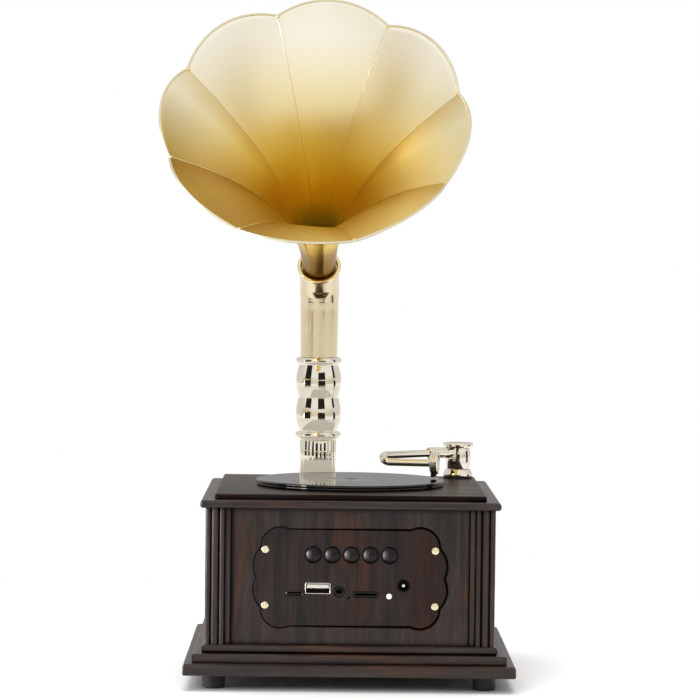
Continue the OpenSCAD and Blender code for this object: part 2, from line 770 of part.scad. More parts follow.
module card_slot() {
    color(black) at_base() translate([card_x, 0, card_z]) on_front(board_face) difference() {
        linear_extrude(socket_l) square(card_size, center = true);
        translate([0, 0, card_back_t]) linear_extrude(socket_l) square(card_opening, center = true);
    }
}
module power_socket() {
    color(black) at_base() translate([power_x, 0, power_z]) on_front(board_face) union() {
        difference() {
            union() {
                cylinder(r = power_r, h = socket_l);
                linear_extrude(board_back - plate_t - inlay_gap)
                    square([power_block_w, power_block_w], center = true);
            }
            translate([0, 0, socket_l - power_depth]) cylinder(r = power_bore_r, h = power_depth + 1);
        }
        translate([0, 0, socket_l - power_depth - tongue_root])
            cylinder(r = power_pin_r, h = power_depth + tongue_root - power_pin_in);
    }
}
module status_lamp() {
    color("white") at_base() translate([lamp_x, 0, lamp_z]) on_front(board_face) union() {
        cylinder(r = lamp_r, h = socket_l - socket_proud);
        translate([0, 0, socket_l - socket_proud]) intersection() {
            translate([0, 0, -lamp_dome]) sphere(r = sqrt(lamp_r*lamp_r + lamp_dome*lamp_dome));
            cylinder(r = lamp_r, h = 2*lamp_r);
        }
    }
}

// Inside the cabinet
module battery() {
    color([0.15, 0.25, 0.5]) at_base() translate([0, wall_back - battery_d/2 - 2, z_step])
        linear_extrude(battery_h) rounded_slot([battery_w, battery_d], 3);
}
speaker_r = speaker_d/2;
speaker_ring_w = 7;
speaker_screw_at = speaker_r - 3;
basket_t = 1.2;
basket_hole_r = 6;
surround_w = 1.8;
coil_r = 5;
coil_t = 0.8;
coil_well = 4;
dust_cap_rise = 1.6;
magnet_r = 14;
speaker_rim_t = 2;
magnet_h = 10;
magnet_gap = 0.5;
magnet_well = 3;
speaker_screw_r = 1.4;
speaker_head_r = 2.6;
speaker_screw_l = 7;
module at_speaker() { at_base() translate([0, speaker_y, z_step]) children(); }
module speaker_hole_places() {
    for (a = [45:90:315]) rotate([0, 0, a]) translate([speaker_screw_at, 0, 0]) children();
}
module speaker_frame() {
    top = speaker_h - magnet_h;
    color(steel) at_speaker() difference() {
        rotate_extrude() polygon([[speaker_r - speaker_ring_w, 0], [speaker_r, 0],
            [speaker_r, speaker_rim_t], [speaker_r - speaker_ring_w + 1, speaker_rim_t],
            [magnet_r - 1, top], [basket_hole_r, top], [basket_hole_r, top - basket_t],
            [magnet_r - 1.8, top - basket_t], [speaker_r - speaker_ring_w, speaker_rim_t]]);
        speaker_hole_places() translate([0, 0, -1])
            cylinder(r = speaker_screw_r + screw_gap, h = speaker_rim_t + 2);
    }
}
module speaker_cone() {
    rim = speaker_r - speaker_ring_w;
    coil = speaker_h - magnet_h;
    low = speaker_rim_t/2 - coil_t/2;
    high = speaker_rim_t/2 + coil_t/2;
    color(black) at_speaker() rotate_extrude() polygon([[rim - surround_w, low], [rim, low], [rim, high],
        [rim - surround_w, high], [coil_r, coil - coil_well], [coil_r, coil + 2],
        [coil_r - coil_t, coil + 2], [coil_r - coil_t, coil - coil_well - coil_t],
        [0, coil - coil_well - dust_cap_rise], [0, coil - coil_well - dust_cap_rise - coil_t],
        [coil_r - 0.6, coil - coil_well - dust_cap_rise]]);
}
module speaker_magnet() {
    color(steel) at_speaker() translate([0, 0, speaker_h - magnet_h]) difference() {
        cylinder(r = magnet_r, h = magnet_h);
        translate([0, 0, -1]) cylinder(r = coil_r + magnet_gap, h = magnet_well + 1);
    }
}
module speaker_screws() {
    color(steel) at_speaker() speaker_hole_places() translate([0, 0, speaker_rim_t]) union() {
        translate([0, 0, -speaker_screw_l]) cylinder(r = speaker_screw_r, h = speaker_screw_l);
        cylinder(r1 = speaker_head_r, r2 = speaker_head_r - 0.4, h = speaker_screw_r);
    }
}

// Gear motor hung by two ears under the top board
ear_t = 2;
ear_rise = 0.4;
ear_x = gearbox_d/2 + 3;
motor_screw_r = 1.1;
motor_screw_bite = 2.6;
motor_head_r = 2.1;
motor_head_t = 1.4;
gearbox_top = z_top - ear_rise;
shaft_low = gearbox_top - gearbox_h + 1.5;
module motor_ears() { for (s = [-1, 1]) translate([s*ear_x, 0, 0]) children(); }
module gear_motor() {
    color(steel) at_base() translate([0, 0, gearbox_top]) difference() {
        union() {
            translate([0, 0, -gearbox_h]) cylinder(r = gearbox_d/2, h = gearbox_h);
            translate([0, 0, -gearbox_h - can_h]) cylinder(r = can_d/2, h = can_h + 1);
            motor_ears() translate([0, 0, ear_rise - ear_t]) cylinder(r = 4, h = ear_t);
        }
        translate([0, 0, shaft_low - gearbox_top]) cylinder(r = spindle_d/2 + run_fit, h = gearbox_h);
        motor_ears() translate([0, 0, -ear_t]) cylinder(r = motor_screw_r + screw_gap, h = 2*ear_t);
    }
}
module motor_screws() {
    color(steel) at_base() translate([0, 0, z_top - ear_t]) motor_ears() union() {
        translate([0, 0, -motor_head_t])
            cylinder(r1 = 0.8*motor_head_r, r2 = motor_head_r, h = motor_head_t);
        cylinder(r = motor_screw_r, h = ear_t + motor_screw_bite);
    }
}
module bearing_bush() {
    color(brass) at_base() translate([0, 0, z_top]) difference() {
        cylinder(r = bush_r, h = top_t + deck_t - hub_t);
        translate([0, 0, -1]) cylinder(r = spindle_d/2 + run_fit, h = top_t + deck_t);
    }
}
module spindle() {
    color(steel) at_base() union() {
        translate([0, 0, shaft_low + move_gap])
            cylinder(r = spindle_d/2, h = z_record_top - shaft_low - move_gap);
        translate([0, 0, z_platter - hub_t]) cylinder(r = hub_d/2, h = hub_t);
        translate([0, 0, z_record_top]) cylinder(r1 = spindle_d/2, r2 = spindle_d/2 - 0.4, h = 0.4);
    }
}
module platter() {
    color(black) at_base() translate([0, 0, z_platter]) difference() {
        cylinder(r = record_d/2 - 0.4, h = platter_t);
        translate([0, 0, -1]) cylinder(r = spindle_d/2 + run_fit, h = platter_t + 2);
    }
}
// The record's upper face from the hole outwards: label land, waves, raised rim
module record() {
    first = label_d/2 + 2;
    last = record_d/2 - 2.5;
    steps = waves*6;
    color(black) at_base() translate([0, 0, z_record]) rotate_extrude() polygon(concat(
        [[spindle_d/2 + run_fit, 0], [record_d/2 - 0.3, 0], [record_d/2, 0.3],
         [record_d/2, record_t - 0.3], [record_d/2 - 0.3, record_t], [record_d/2 - 1.6, record_t]],
        [for (i = [0:steps]) [last + (first - last)*i/steps,
            record_t - wave_h - wave_h*0.5*(1 - cos(360*waves*i/steps))]],
        [[label_d/2, record_t - wave_h], [spindle_d/2 + run_fit, record_t - wave_h]]));
}

// Column
module column_ring() {
    color(nickel) at_column(z_play) difference() {
        union() {
            cylinder(r = barrel_d/2 + ring_lip, h = ring_t*0.6);
            cylinder(r = barrel_d/2, h = ring_t);
        }
        translate([0, 0, -1]) cylinder(r = tie_d/2 + screw_gap, h = ring_t + 2);
    }
}
module reeded_barrel() {
    reed = barrel_d/2*sin(180/reeds)/(1 + sin(180/reeds));
    color(nickel) at_column(z_barrel) difference() {
        linear_extrude(barrel_h) union() {
            circle(barrel_d/2 - reed);
            for (i = [0:reeds - 1]) rotate([0, 0, i*360/reeds]) translate([barrel_d/2 - reed, 0])
                circle(reed*1.02);
        }
        translate([0, 0, -1]) cylinder(r = tie_d/2 + screw_gap, h = barrel_h + 2);
    }
}
module turned_baluster() {
    big = turned_d/2;
    low = neck_d/2;
    waist = waist_d/2;
    split = 0.56;
    low_z = bead_h;
    waist_z = low_z + low_bulge_h;
    high_z = waist_z + high_bulge_h;
    ease = function (t) (1 - cos(180*t))/2;
    bead_r = bead_h/2;
    bead = function (z) [for (a = [-80:20:80]) [big - bead_r + bead_r*cos(a), z + bead_r + bead_r*sin(a)]];
    color(nickel) at_column(z_turned) difference() {
        rotate_extrude() polygon(concat(
            [[0, 0], [low, 0]], bead(0), [[low, low_z]],
            [for (i = [1:8]) [low + (big - low)*ease(i/8), low_z + low_bulge_h*split*i/8]],
            [for (i = [1:7]) [big - (big - waist)*ease(i/7), low_z + low_bulge_h*(split + (1 - split)*i/7)]],
            [for (i = [1:8]) [waist + (big - waist)*ease(i/8), waist_z + high_bulge_h*split*i/8]],
            [for (i = [1:7])
                [big - (big - waist)*ease(i/7), waist_z + high_bulge_h*(split + (1 - split)*i/7)]],
            bead(high_z),
            [[spigot_r, high_z + bead_h], [spigot_r, high_z + bead_h + spigot_h],
             [0, high_z + bead_h + spigot_h]]));
        translate([0, 0, -1]) cylinder(r = tie_d/2 + screw_gap, h = turned_h + spigot_h + 2);
    }
}
tube_past_nut = 1;
z_spigot = z_turned + turned_h + spigot_h;
module tie_tube() {
    low = z_top - nut_t - tube_past_nut;
    high = z_spigot + nut_t + tube_past_nut;
    color(steel) at_column(low) difference() {
        cylinder(r = tie_d/2, h = high - low);
        translate([0, 0, -1]) cylinder(r = tie_d/2 - tie_wall, h = high - low + 2);
    }
}
module tie_nuts() {
    color(steel) for (z = [z_top - nut_t, z_spigot]) at_column(z) difference() {
        cylinder(r = nut_r, h = nut_t, $fn = 6);
        translate([0, 0, -1]) cylinder(r = tie_d/2 + run_fit, h = nut_t + 2);
    }
}

// Elbow: a straight tube, a bend and a short collar in one casting
module at_collar(z) {
    translate([0, -bend_r, elbow_h]) rotate([bend_turn, 0, 0]) translate([0, bend_r, z]) children();
}
module elbow_form(r, low, high) {
    union() {
        translate([0, 0, low]) cylinder(r = r + bend_lip, h = elbow_h - low + bend_lap);
        translate([0, -bend_r, elbow_h]) rotate([90, 0, 90]) rotate_extrude(angle = bend_turn)
            translate([bend_r, 0]) circle(r);
        at_collar(-bend_lap) cylinder(r = r + bend_lip, h = high + bend_lap);
    }
}
module elbow() {
    socket = spigot_h + nut_t + tube_past_nut + 1;
    color(nickel) at_horn(z_elbow) difference() {
        elbow_form(elbow_d/2, 0, collar_l);
        elbow_form(neck_r - sheet_t + screw_gap, socket - 1, collar_l + 1);
        translate([0, 0, -1]) cylinder(r = spigot_r + run_fit, h = socket + 1);
        at_collar(collar_l - plug_l) cylinder(r = neck_r + screw_gap, h = plug_l + 1);
    }
}
module mouth_ring() {
    inner = neck_r + 0.7;
    fat = mouth_t/2;
    color(gold) at_mouth() rotate_extrude() polygon(concat([[inner, 0]],
        [for (a = [-90:18:90]) [mouth_d/2 - fat + fat*cos(a), fat + fat*sin(a)]], [[inner, mouth_t]]));
}

// Horn: a sheet with an inner and an outer face, closed round the rim and round the neck's end
horn_u = concat([-1, 0], [for (i = [1:horn_rings]) i/horn_rings]);
module horn() {
    n = round_steps;
    rows = len(horn_u);
    inner = [for (u = horn_u) for (k = [0:n - 1]) horn_point(k, u, 0)];
    outer = [for (u = horn_u) for (k = [0:n - 1]) horn_point(k, u, sheet_t)];
    shift = rows*n;
    quads = [for (i = [0:rows - 2]) for (k = [0:n - 1])
        let (m = (k + 1) % n) [i*n + k, i*n + m, (i + 1)*n + m, (i + 1)*n + k]];
    last = (rows - 1)*n;
    color(gold) at_mouth() polyhedron(points = concat(inner, outer), faces = concat(
        [for (q = quads) each [[q[0], q[1], q[2]], [q[0], q[2], q[3]]]],
        [for (q = quads) let (s = [for (i = q) i + shift])
            each [[s[2], s[1], s[0]], [s[3], s[2], s[0]]]],
        [for (k = [0:n - 1]) let (m = (k + 1) % n) each [[k, k + shift, m], [m, k + shift, m + shift]]],
        [for (k = [0:n - 1]) let (m = (k + 1) % n)
            each [[last + k, last + m, last + k + shift], [last + m, last + m + shift, last + k + shift]]]));
}

// Rim wire: a tube along the petals' edges, swelling to a knot at each cusp
wire_sides = 6;
module rim_wire() {
    n = round_steps;
    path = [for (k = [0:n - 1]) rim_point(k)];
    unit = function (v) v/norm(v);
    ring = function (k) let (
            t = unit(path[(k + 1) % n] - path[(k + n - 1) % n]),
            side = unit(cross(t, [0, 0, 1])),
            up = cross(side, t),
            r = (k % petal_steps == 0 ? knot_d : wire_d)/2)
        [for (j = [0:wire_sides - 1]) path[k] + r*(side*cos(360*j/wire_sides) + up*sin(360*j/wire_sides))];
    color(nickel) at_mouth() polyhedron(points = [for (k = [0:n - 1]) each ring(k)], faces =
        [for (k = [0:n - 1]) for (j = [0:wire_sides - 1])
            let (m = (k + 1) % n, i = (j + 1) % wire_sides, a = k*wire_sides, b = m*wire_sides)
            each [[a + j, b + j, b + i], [a + j, b + i, a + i]]]);
}

// Tone arm
base_disc_t = 1.3;
flange_t = 3.7;
head_low = base_disc_t + flange_t + move_gap;
cap_rise = 2.4;
cap_low = arm_h + cap_rise;
cap_t = 3.2;
pin_top = arm_h - 2;
arm_nut_t = 2.4;
stud_l = top_t + deck_t + arm_nut_t + 1;
module arm_base() {
    color(nickel) at_arm(z_play) union() {
        cylinder(r = post_flange_d/2 - 0.7, h = base_disc_t);
        translate([0, 0, base_disc_t]) rotate_extrude() polygon([[0, 0], [post_flange_d/2, 0],
            [post_flange_d/2, 0.9], [post_flange_d/2 - 1.4, flange_t], [0, flange_t]]);
        translate([0, 0, base_disc_t + flange_t])
            cylinder(r = pivot_d/2, h = pin_top - base_disc_t - flange_t);
        translate([0, 0, -stud_l]) cylinder(r = stud_r, h = stud_l);
    }
}
module arm_nut() {
    color(steel) at_arm(z_top - arm_nut_t) difference() {
        cylinder(r = 2*stud_r, h = arm_nut_t, $fn = 6);
        translate([0, 0, -1]) cylinder(r = stud_r + run_fit, h = arm_nut_t + 2);
    }
}
module arm_head() {
    bulge = head_d/2;
    body_h = cap_low - head_low;
    color(nickel) at_arm(z_play) difference() {
        union() {
            rotate_extrude() polygon(concat([[0, head_low]],
                [for (i = [0:10]) [bulge - 1.1 + 1.1*sin(180*i/10), head_low + body_h*i/10]],
                [[cap_d/2 - 0.6, cap_low + 0.3], [cap_d/2, cap_low + 0.9], [cap_d/2, cap_low + cap_t - 0.9],
                 [cap_d/2 - 0.8, cap_low + cap_t - 0.2], [cap_d/4, cap_low + cap_t], [0, cap_low + cap_t]]));
            translate([0, 0, arm_h]) rotate([0, 90, 0])
                cylinder(r1 = tube_d/2, r2 = tube_d/2 - 0.3, h = tube_l);
        }
        translate([0, 0, head_low - 1])
            cylinder(r = pivot_d/2 + run_fit, h = pin_top + move_gap - head_low + 1);
        translate([tube_l - 9, 0, arm_h]) rotate([0, 90, 0]) cylinder(r = goose_d/2 + run_fit, h = 12);
    }
}

// Gooseneck: a straight pin in the arm tube, then a tube through a dropping turn to the sound box
goose_turn = 130;
goose_sides = 12;
turn_steps = 14;
function turn_point(t) =
    [goose_l + goose_r*sin(goose_turn*t), goose_r*(1 - cos(goose_turn*t)), -goose_drop*smooth(t)];
function back_point(s) = turn_point(1) + s*[cos(goose_turn), sin(goose_turn), 0];
goose_path = concat([[tube_l + 2, 0, 0], [tube_l + 12, 0, 0]],
    [for (i = [0:turn_steps]) turn_point(i/turn_steps)],
    [back_point(goose_back*0.5), back_point(goose_back)]);
module gooseneck() {
    n = len(goose_path);
    unit = function (v) v/norm(v);
    ring = function (i) let (
            t = unit(goose_path[min(i + 1, n - 1)] - goose_path[max(i - 1, 0)]),
            side = unit(cross([0, 0, 1], t)),
            up = cross(t, side))
        [for (j = [0:goose_sides - 1]) goose_path[i]
            + goose_d/2*(side*cos(360*j/goose_sides) + up*sin(360*j/goose_sides))];
    color(nickel) at_arm(z_arm) union() {
        translate([tube_l - 8, 0, 0]) rotate([0, 90, 0]) cylinder(r = goose_d/2, h = 10);
        polyhedron(points = [for (i = [0:n - 1]) each ring(i)], faces = concat(
            [[for (j = [0:goose_sides - 1]) j]],
            [[for (j = [goose_sides - 1:-1:0]) (n - 1)*goose_sides + j]],
            [for (i = [0:n - 2]) for (j = [0:goose_sides - 1])
                let (m = (j + 1) % goose_sides, a = i*goose_sides, b = a + goose_sides)
                each [[a + j, b + j, b + m], [a + j, b + m, a + m]]]));
    }
}

// Sound box at the gooseneck's end, its axis along the gooseneck's heading
module at_box() {
    at_arm(z_arm) translate(back_point(goose_back)) rotate([0, 0, goose_turn]) rotate([0, 90, 0]) children();
}
module sound_box() {
    r = box_d/2;
    t = box_t;
    color(nickel) at_box() rotate_extrude() polygon([[0, 0], [r*0.72, 0], [r*0.8, t*0.1], [r, t*0.2],
        [r, t*0.52], [r*0.9, t*0.58], [r*0.9, t*0.72], [r*0.8, t*0.78], [r*0.8, t], [r*0.62, t],
        [r*0.58, t*0.8], [0, t*0.8]]);
}
// Needle with its chuck, hanging from the sound box's lower edge down to the record
needle_gap = move_gap;
chuck_in = 0.86;
chuck_w = 3;
chuck_t = 2.4;
chuck_h = 1.5;
chuck_screw_r = 0.7;
chuck_screw_z = 0.8;
chuck_screw_l = 3.2;
needle_r = 0.5;
needle_tip_r = 0.15;
needle_tip_l = 0.8;
module needle() {
    start = box_d/2*chuck_in;
    reach = z_arm - goose_drop - z_record_top - needle_gap - start;
    color(black) at_box() rotate([0, 90, 0]) translate([-box_t*0.4, 0, start]) union() {
        translate([-chuck_w/2, -chuck_t/2, 0]) cube([chuck_w, chuck_t, chuck_h]);
        cylinder(r = needle_r, h = reach - needle_tip_l);
        translate([0, 0, reach - needle_tip_l]) cylinder(r1 = needle_r, r2 = needle_tip_r, h = needle_tip_l);
        translate([0, 0, chuck_screw_z]) rotate([90, 0, 0]) cylinder(r = chuck_screw_r, h = chuck_screw_l);
    }
}

base_board();
plinth_step();
plinth_bead();
foot_front_left();
foot_front_right();
foot_back_left();
foot_back_right();
foot_screws();
front_board();
back_board();
left_board();
right_board();
post_front_left();
post_front_right();
post_back_left();
post_back_right();
top_board();
deck_board();
control_plate();
plate_screws();
button_1();
button_2();
button_3();
button_4();
button_5();
circuit_board();
board_posts();
tact_switches();
charging_socket();
usb_socket();
audio_socket();
card_slot();
power_socket();
status_lamp();
battery();
speaker_frame();
speaker_cone();
speaker_magnet();
speaker_screws();
gear_motor();
motor_screws();
bearing_bush();
spindle();
platter();
record();
column_ring();
reeded_barrel();
turned_baluster();
tie_tube();
tie_nuts();
elbow();
mouth_ring();
horn();
rim_wire();
arm_base();
arm_nut();
arm_head();
gooseneck();
sound_box();
needle();
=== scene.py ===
"""A tabletop record player with a petal horn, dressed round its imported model."""
import json
import math

import bmesh
import bpy
from mathutils import Matrix, Vector
from mathutils.geometry import tessellate_polygon


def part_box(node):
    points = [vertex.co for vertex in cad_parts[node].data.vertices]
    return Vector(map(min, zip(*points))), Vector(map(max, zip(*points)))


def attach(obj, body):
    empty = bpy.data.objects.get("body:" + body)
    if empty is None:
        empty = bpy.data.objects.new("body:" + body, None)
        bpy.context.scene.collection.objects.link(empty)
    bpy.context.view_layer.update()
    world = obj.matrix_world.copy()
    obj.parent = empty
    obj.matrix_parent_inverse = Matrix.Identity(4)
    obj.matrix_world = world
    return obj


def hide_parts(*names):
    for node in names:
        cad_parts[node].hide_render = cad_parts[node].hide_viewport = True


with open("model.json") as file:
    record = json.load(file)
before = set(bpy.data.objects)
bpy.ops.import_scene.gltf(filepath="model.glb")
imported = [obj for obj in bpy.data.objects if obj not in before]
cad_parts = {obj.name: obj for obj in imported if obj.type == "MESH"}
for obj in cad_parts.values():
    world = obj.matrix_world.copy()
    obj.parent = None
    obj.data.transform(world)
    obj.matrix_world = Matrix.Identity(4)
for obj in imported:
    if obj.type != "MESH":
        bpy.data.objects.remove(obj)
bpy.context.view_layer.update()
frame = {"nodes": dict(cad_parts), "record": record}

MM = 0.001
QUARTER = math.pi / 2
FULL_TURN = 2 * math.pi
scene = bpy.context.scene

# Places from the frame, in millimetres from the cabinet's middle on the floor
_low, _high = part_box("base_board")
MID = Vector(((_low.x + _high.x) / 2, (_low.y + _high.y) / 2, 0.0))


def span(node):
    """Lowest and highest corners of a CAD node, in the cabinet's millimetres."""
    low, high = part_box(node)
    return (low - MID) / MM, (high - MID) / MM


def middle(node):
    low, high = span(node)
    return (low + high) / 2


def size(node):
    low, high = span(node)
    return high - low


def at(x, y, z):
    return Matrix.Translation((x, y, z))


def turn(angle, axis="Z"):
    return Matrix.Rotation(angle, 4, axis)


# The column's axis, the elbow's bend, the horn's mouth and its petals
COLUMN = middle("turned_baluster")
COLUMN.z = 0
HORN_TILT = math.radians(36.5)
BEND = QUARTER - HORN_TILT
BEND_R, STRAIGHT, COLLAR = 18.0, 30.6, 9.0
ELBOW_LOW = span("elbow")[0].z
ELBOW_R = 10.8
HORN_TURN = math.radians(-1.5)
MOUTH_OUT = BEND_R * (1 - math.cos(BEND)) + COLLAR * math.cos(HORN_TILT)
MOUTH_Z = ELBOW_LOW + STRAIGHT + BEND_R * math.sin(BEND) + COLLAR * math.sin(HORN_TILT)
TO_HORN = at(*COLUMN) @ turn(HORN_TURN)
TO_MOUTH = TO_HORN @ at(0, -MOUTH_OUT, MOUTH_Z) @ turn(BEND, "X")
HORN_L, NECK_R, CUSP_R, SHEET = 127.0, 9.3, 79.25, 0.8
PETALS, REACH, FLARE, NECK_OPEN, FLATNESS, ROLL, PLUG = 8, 6.4, 2.3, 0.05, 0.78, -6.0, 8.0
FIRST_CUSP = math.radians(90 - 180 / PETALS + ROLL)

# The tone arm's post, head and bent tube
ARM_H = 14.7
ARM_TURN = math.radians(218)
ARM = middle("arm_base")
DECK = span("deck_board")[1].z
TO_ARM = at(ARM.x, ARM.y, DECK) @ turn(ARM_TURN)
TO_GOOSE = TO_ARM @ at(0, 0, ARM_H)
GOOSE_START, GOOSE_TURN_AT, GOOSE_R, GOOSE_DROP, GOOSE_BACK = 14.0, 52.5, 4.5, 3.3, 23.0
GOOSE_TURN = math.radians(130)
SOUND_BOX_R, CHUCK_SHARE = 6.8, 0.86


# Colours and nodes
def srgb(red, green, blue):
    """A screen colour of 0 to 255 as the linear colour that a shader takes."""
    def linear(value):
        value /= 255
        return value / 12.92 if value <= 0.04045 else ((value + 0.055) / 1.055) ** 2.4
    return (linear(red), linear(green), linear(blue), 1.0)


def join(tree, node, key, value):
    """Gives a node's input a value or another node's output."""
    if isinstance(value, bpy.types.NodeSocket):
        tree.links.new(value, node.inputs[key])
    else:
        node.inputs[key].default_value = value


def add(tree, kind, inputs=None, **settings):
    """A new node; an input is a value or another node's output."""
    node = tree.nodes.new(kind)
    for key, value in settings.items():
        setattr(node, key, value)
    for key, value in (inputs or {}).items():
        join(tree, node, key, value)
    return node


def feed(tree, node, **inputs):
    """Sets inputs of a node by name, with underscores for spaces."""
    for key, value in inputs.items():
        join(tree, node, key.replace("_", " "), value)


def calc(tree, operation, *values):
    return add(tree, "ShaderNodeMath", dict(enumerate(values)), operation=operation).outputs["Value"]


def vector_calc(tree, operation, *values):
    return add(tree, "ShaderNodeVectorMath", dict(enumerate(values)), operation=operation).outputs["Value"]


def axes(tree, vector):
    """A vector's X, Y and Z, by name."""
    return add(tree, "ShaderNodeSeparateXYZ", {"Vector": vector}).outputs


def ramp(tree, factor, stops):
    """A colour ramp over the stops (place, colour); one number stands for a grey."""
    node = add(tree, "ShaderNodeValToRGB", {"Fac": factor})
    elements = node.color_ramp.elements
    while len(elements) < len(stops):
        elements.new(0.5)
    for element, (place, colour) in zip(elements, stops):
        element.position = place
        element.color = colour if isinstance(colour, tuple) else (colour, colour, colour, 1)
    return node.outputs["Color"]


def remap(tree, value, low, high, out_low=0.0, out_high=1.0):
    node = add(tree, "ShaderNodeMapRange", {"Value": value, "From Min": low, "From Max": high,
                                            "To Min": out_low, "To Max": out_high})
    return node.outputs["Result"]


def noise(tree, vector, scale, detail=3.0, roughness=0.5, distortion=0.0):
    node = add(tree, "ShaderNodeTexNoise", {"Vector": vector, "Scale": scale, "Detail": detail,
                                            "Roughness": roughness, "Distortion": distortion})
    return node.outputs["Fac"]


def clouded(tree, clouds, pale, deep):
    """Two screen colours that run into each other over a noise."""
    return ramp(tree, clouds, [(0.3, srgb(*deep)), (0.7, srgb(*pale))])


def spread(tree, clouds, low, high):
    """A value that a noise moves between two others."""
    return remap(tree, clouds, 0.3, 0.7, low, high)


def mix(tree, factor, first, second, blend="MIX"):
    node = add(tree, "ShaderNodeMix", data_type="RGBA", blend_type=blend)
    for index, value in ((0, factor), (6, first), (7, second)):
        join(tree, node, index, value)
    return node.outputs[2]


def times(tree, colour, factor):
    return mix(tree, 1.0, colour, factor, "MULTIPLY")


def empty_tree(owner):
    """The cleared node tree of a material or a world."""
    owner.use_nodes = True
    owner.node_tree.nodes.clear()
    return owner.node_tree


def shader(name, **constants):
    """A material with its Principled shader; constants are set on the shader's own sockets."""
    material = bpy.data.materials.new(name)
    tree = empty_tree(material)
    principled = add(tree, "ShaderNodeBsdfPrincipled")
    feed(tree, principled, **constants)
    add(tree, "ShaderNodeOutputMaterial", {"Surface": principled.outputs["BSDF"]})
    return material, tree, principled


def place_vector(tree, scale=(1, 1, 1)):
    """The object's own coordinates in metres, stretched."""
    coordinates = add(tree, "ShaderNodeTexCoord").outputs["Object"]
    return add(tree, "ShaderNodeMapping", {"Vector": coordinates, "Scale": scale}).outputs["Vector"]


def bump(tree, principled, height, distance, strength=1.0):
    node = add(tree, "ShaderNodeBump", {"Height": height, "Distance": distance, "Strength": strength})
    feed(tree, principled, Normal=node.outputs["Normal"])


# Materials
def walnut(name, axis, gloss=0.45, warm_side=False, joints=False):
    """Dark stained walnut under satin lacquer, its grain along one axis; painted shade darkens its grooves
    and crevices.
    """
    material, tree, principled = shader(name, IOR=1.5)

    def stretched(along):
        return place_vector(tree, tuple(along if i == axis else 1.0 for i in range(3)))
    patches = noise(tree, stretched(0.22), 46, 3.0, 0.55, 0.8)
    streaks = noise(tree, stretched(0.045), 190, 5.0, 0.65, 0.8)
    fibres = noise(tree, stretched(0.03), 1500, 3.0, 0.6)
    pores = noise(tree, stretched(0.035), 2600, 2.0, 0.5)
    body = ramp(tree, patches, [(0.30, srgb(24, 18, 18)), (0.42, srgb(46, 36, 35)),
                                (0.50, srgb(60, 48, 45)), (0.58, srgb(48, 34, 29)),
                                (0.66, srgb(74, 44, 30)), (0.78, srgb(52, 44, 42))])
    streaked = ramp(tree, streaks, [(0.32, srgb(84, 70, 68)), (0.45, srgb(186, 174, 170)),
                                    (0.58, srgb(255, 248, 243)), (0.72, srgb(150, 138, 134))])
    fine = ramp(tree, fibres, [(0.32, srgb(165, 156, 153)), (0.58, srgb(255, 255, 255))])
    colour = mix(tree, 0.9, body, streaked, "MULTIPLY")
    colour = mix(tree, 0.7, colour, fine, "MULTIPLY")
    # Painted shade: ambient occlusion darkens the colour and dims the gloss in grooves and crevices.
    painted_crevice_shade = add(tree, "ShaderNodeAmbientOcclusion", {"Distance": 0.004}, samples=6).outputs["AO"]
    shine = remap(tree, painted_crevice_shade, 0.4, 0.82, 0.03, gloss)
    if warm_side:
        across = axes(tree, place_vector(tree))["X"]
        side = remap(tree, across, MID.x + 0.020, MID.x + 0.036)
        reddened = times(tree, colour, (0.60, 0.24, 0.12, 1))
        colour = mix(tree, side, times(tree, colour, (0.84, 0.72, 0.74, 1)), reddened)
    # Painted shadow: near-black bands where the front board meets the corner posts, with the gloss taken out
    # there.
    if joints:
        across = axes(tree, place_vector(tree))["X"]
        left = remap(tree, across, MID.x - 0.0622, MID.x - 0.0602, 0.12)
        right = remap(tree, across, MID.x + 0.0625, MID.x + 0.0610, 0.12)
        clear_of_painted_shadow = calc(tree, "MULTIPLY", left, right)
        colour = mix(tree, clear_of_painted_shadow, (0.002, 0.0015, 0.001, 1), colour)
        shine = calc(tree, "MULTIPLY", shine, clear_of_painted_shadow)
    shade = ramp(tree, painted_crevice_shade, [(0.38, (0.10, 0.08, 0.07, 1)), (0.82, 1)])
    feed(tree, principled, Base_Color=times(tree, colour, shade), Specular_IOR_Level=shine,
         Roughness=spread(tree, streaks, 0.25, 0.42))
    bump(tree, principled, ramp(tree, pores, [(0.28, 0), (0.42, 1)]), 0.00006, 0.5)
    return material


def plated(name, pale, deep, roughness, grain_scale, grain, smudge):
    """Polished or satin plate over metal, with faint clouding and a fine grain."""
    material, tree, principled = shader(name, Metallic=1.0)
    vector = place_vector(tree)
    clouds = noise(tree, vector, 45, 3.0, 0.55)
    smudges = noise(tree, vector, 120, 4.0, 0.6)
    feed(tree, principled, Base_Color=clouded(tree, clouds, pale, deep),
         Roughness=spread(tree, smudges, roughness - smudge, roughness + smudge))
    bump(tree, principled, noise(tree, vector, grain_scale, 2.0, 0.6), 0.00002, grain)
    return material


def moulded(name, colour, deep, roughness, grain=0.15, **constants):
    """Moulded plastic or rubber with a fine pebble."""
    material, tree, principled = shader(name, **constants)
    vector = place_vector(tree)
    clouds = noise(tree, vector, 160, 3.0)
    feed(tree, principled, Base_Color=clouded(tree, clouds, colour, deep),
         Roughness=spread(tree, clouds, roughness * 0.85, roughness * 1.15))
    bump(tree, principled, noise(tree, vector, 1800, 2.0), 0.00003, grain)
    return material


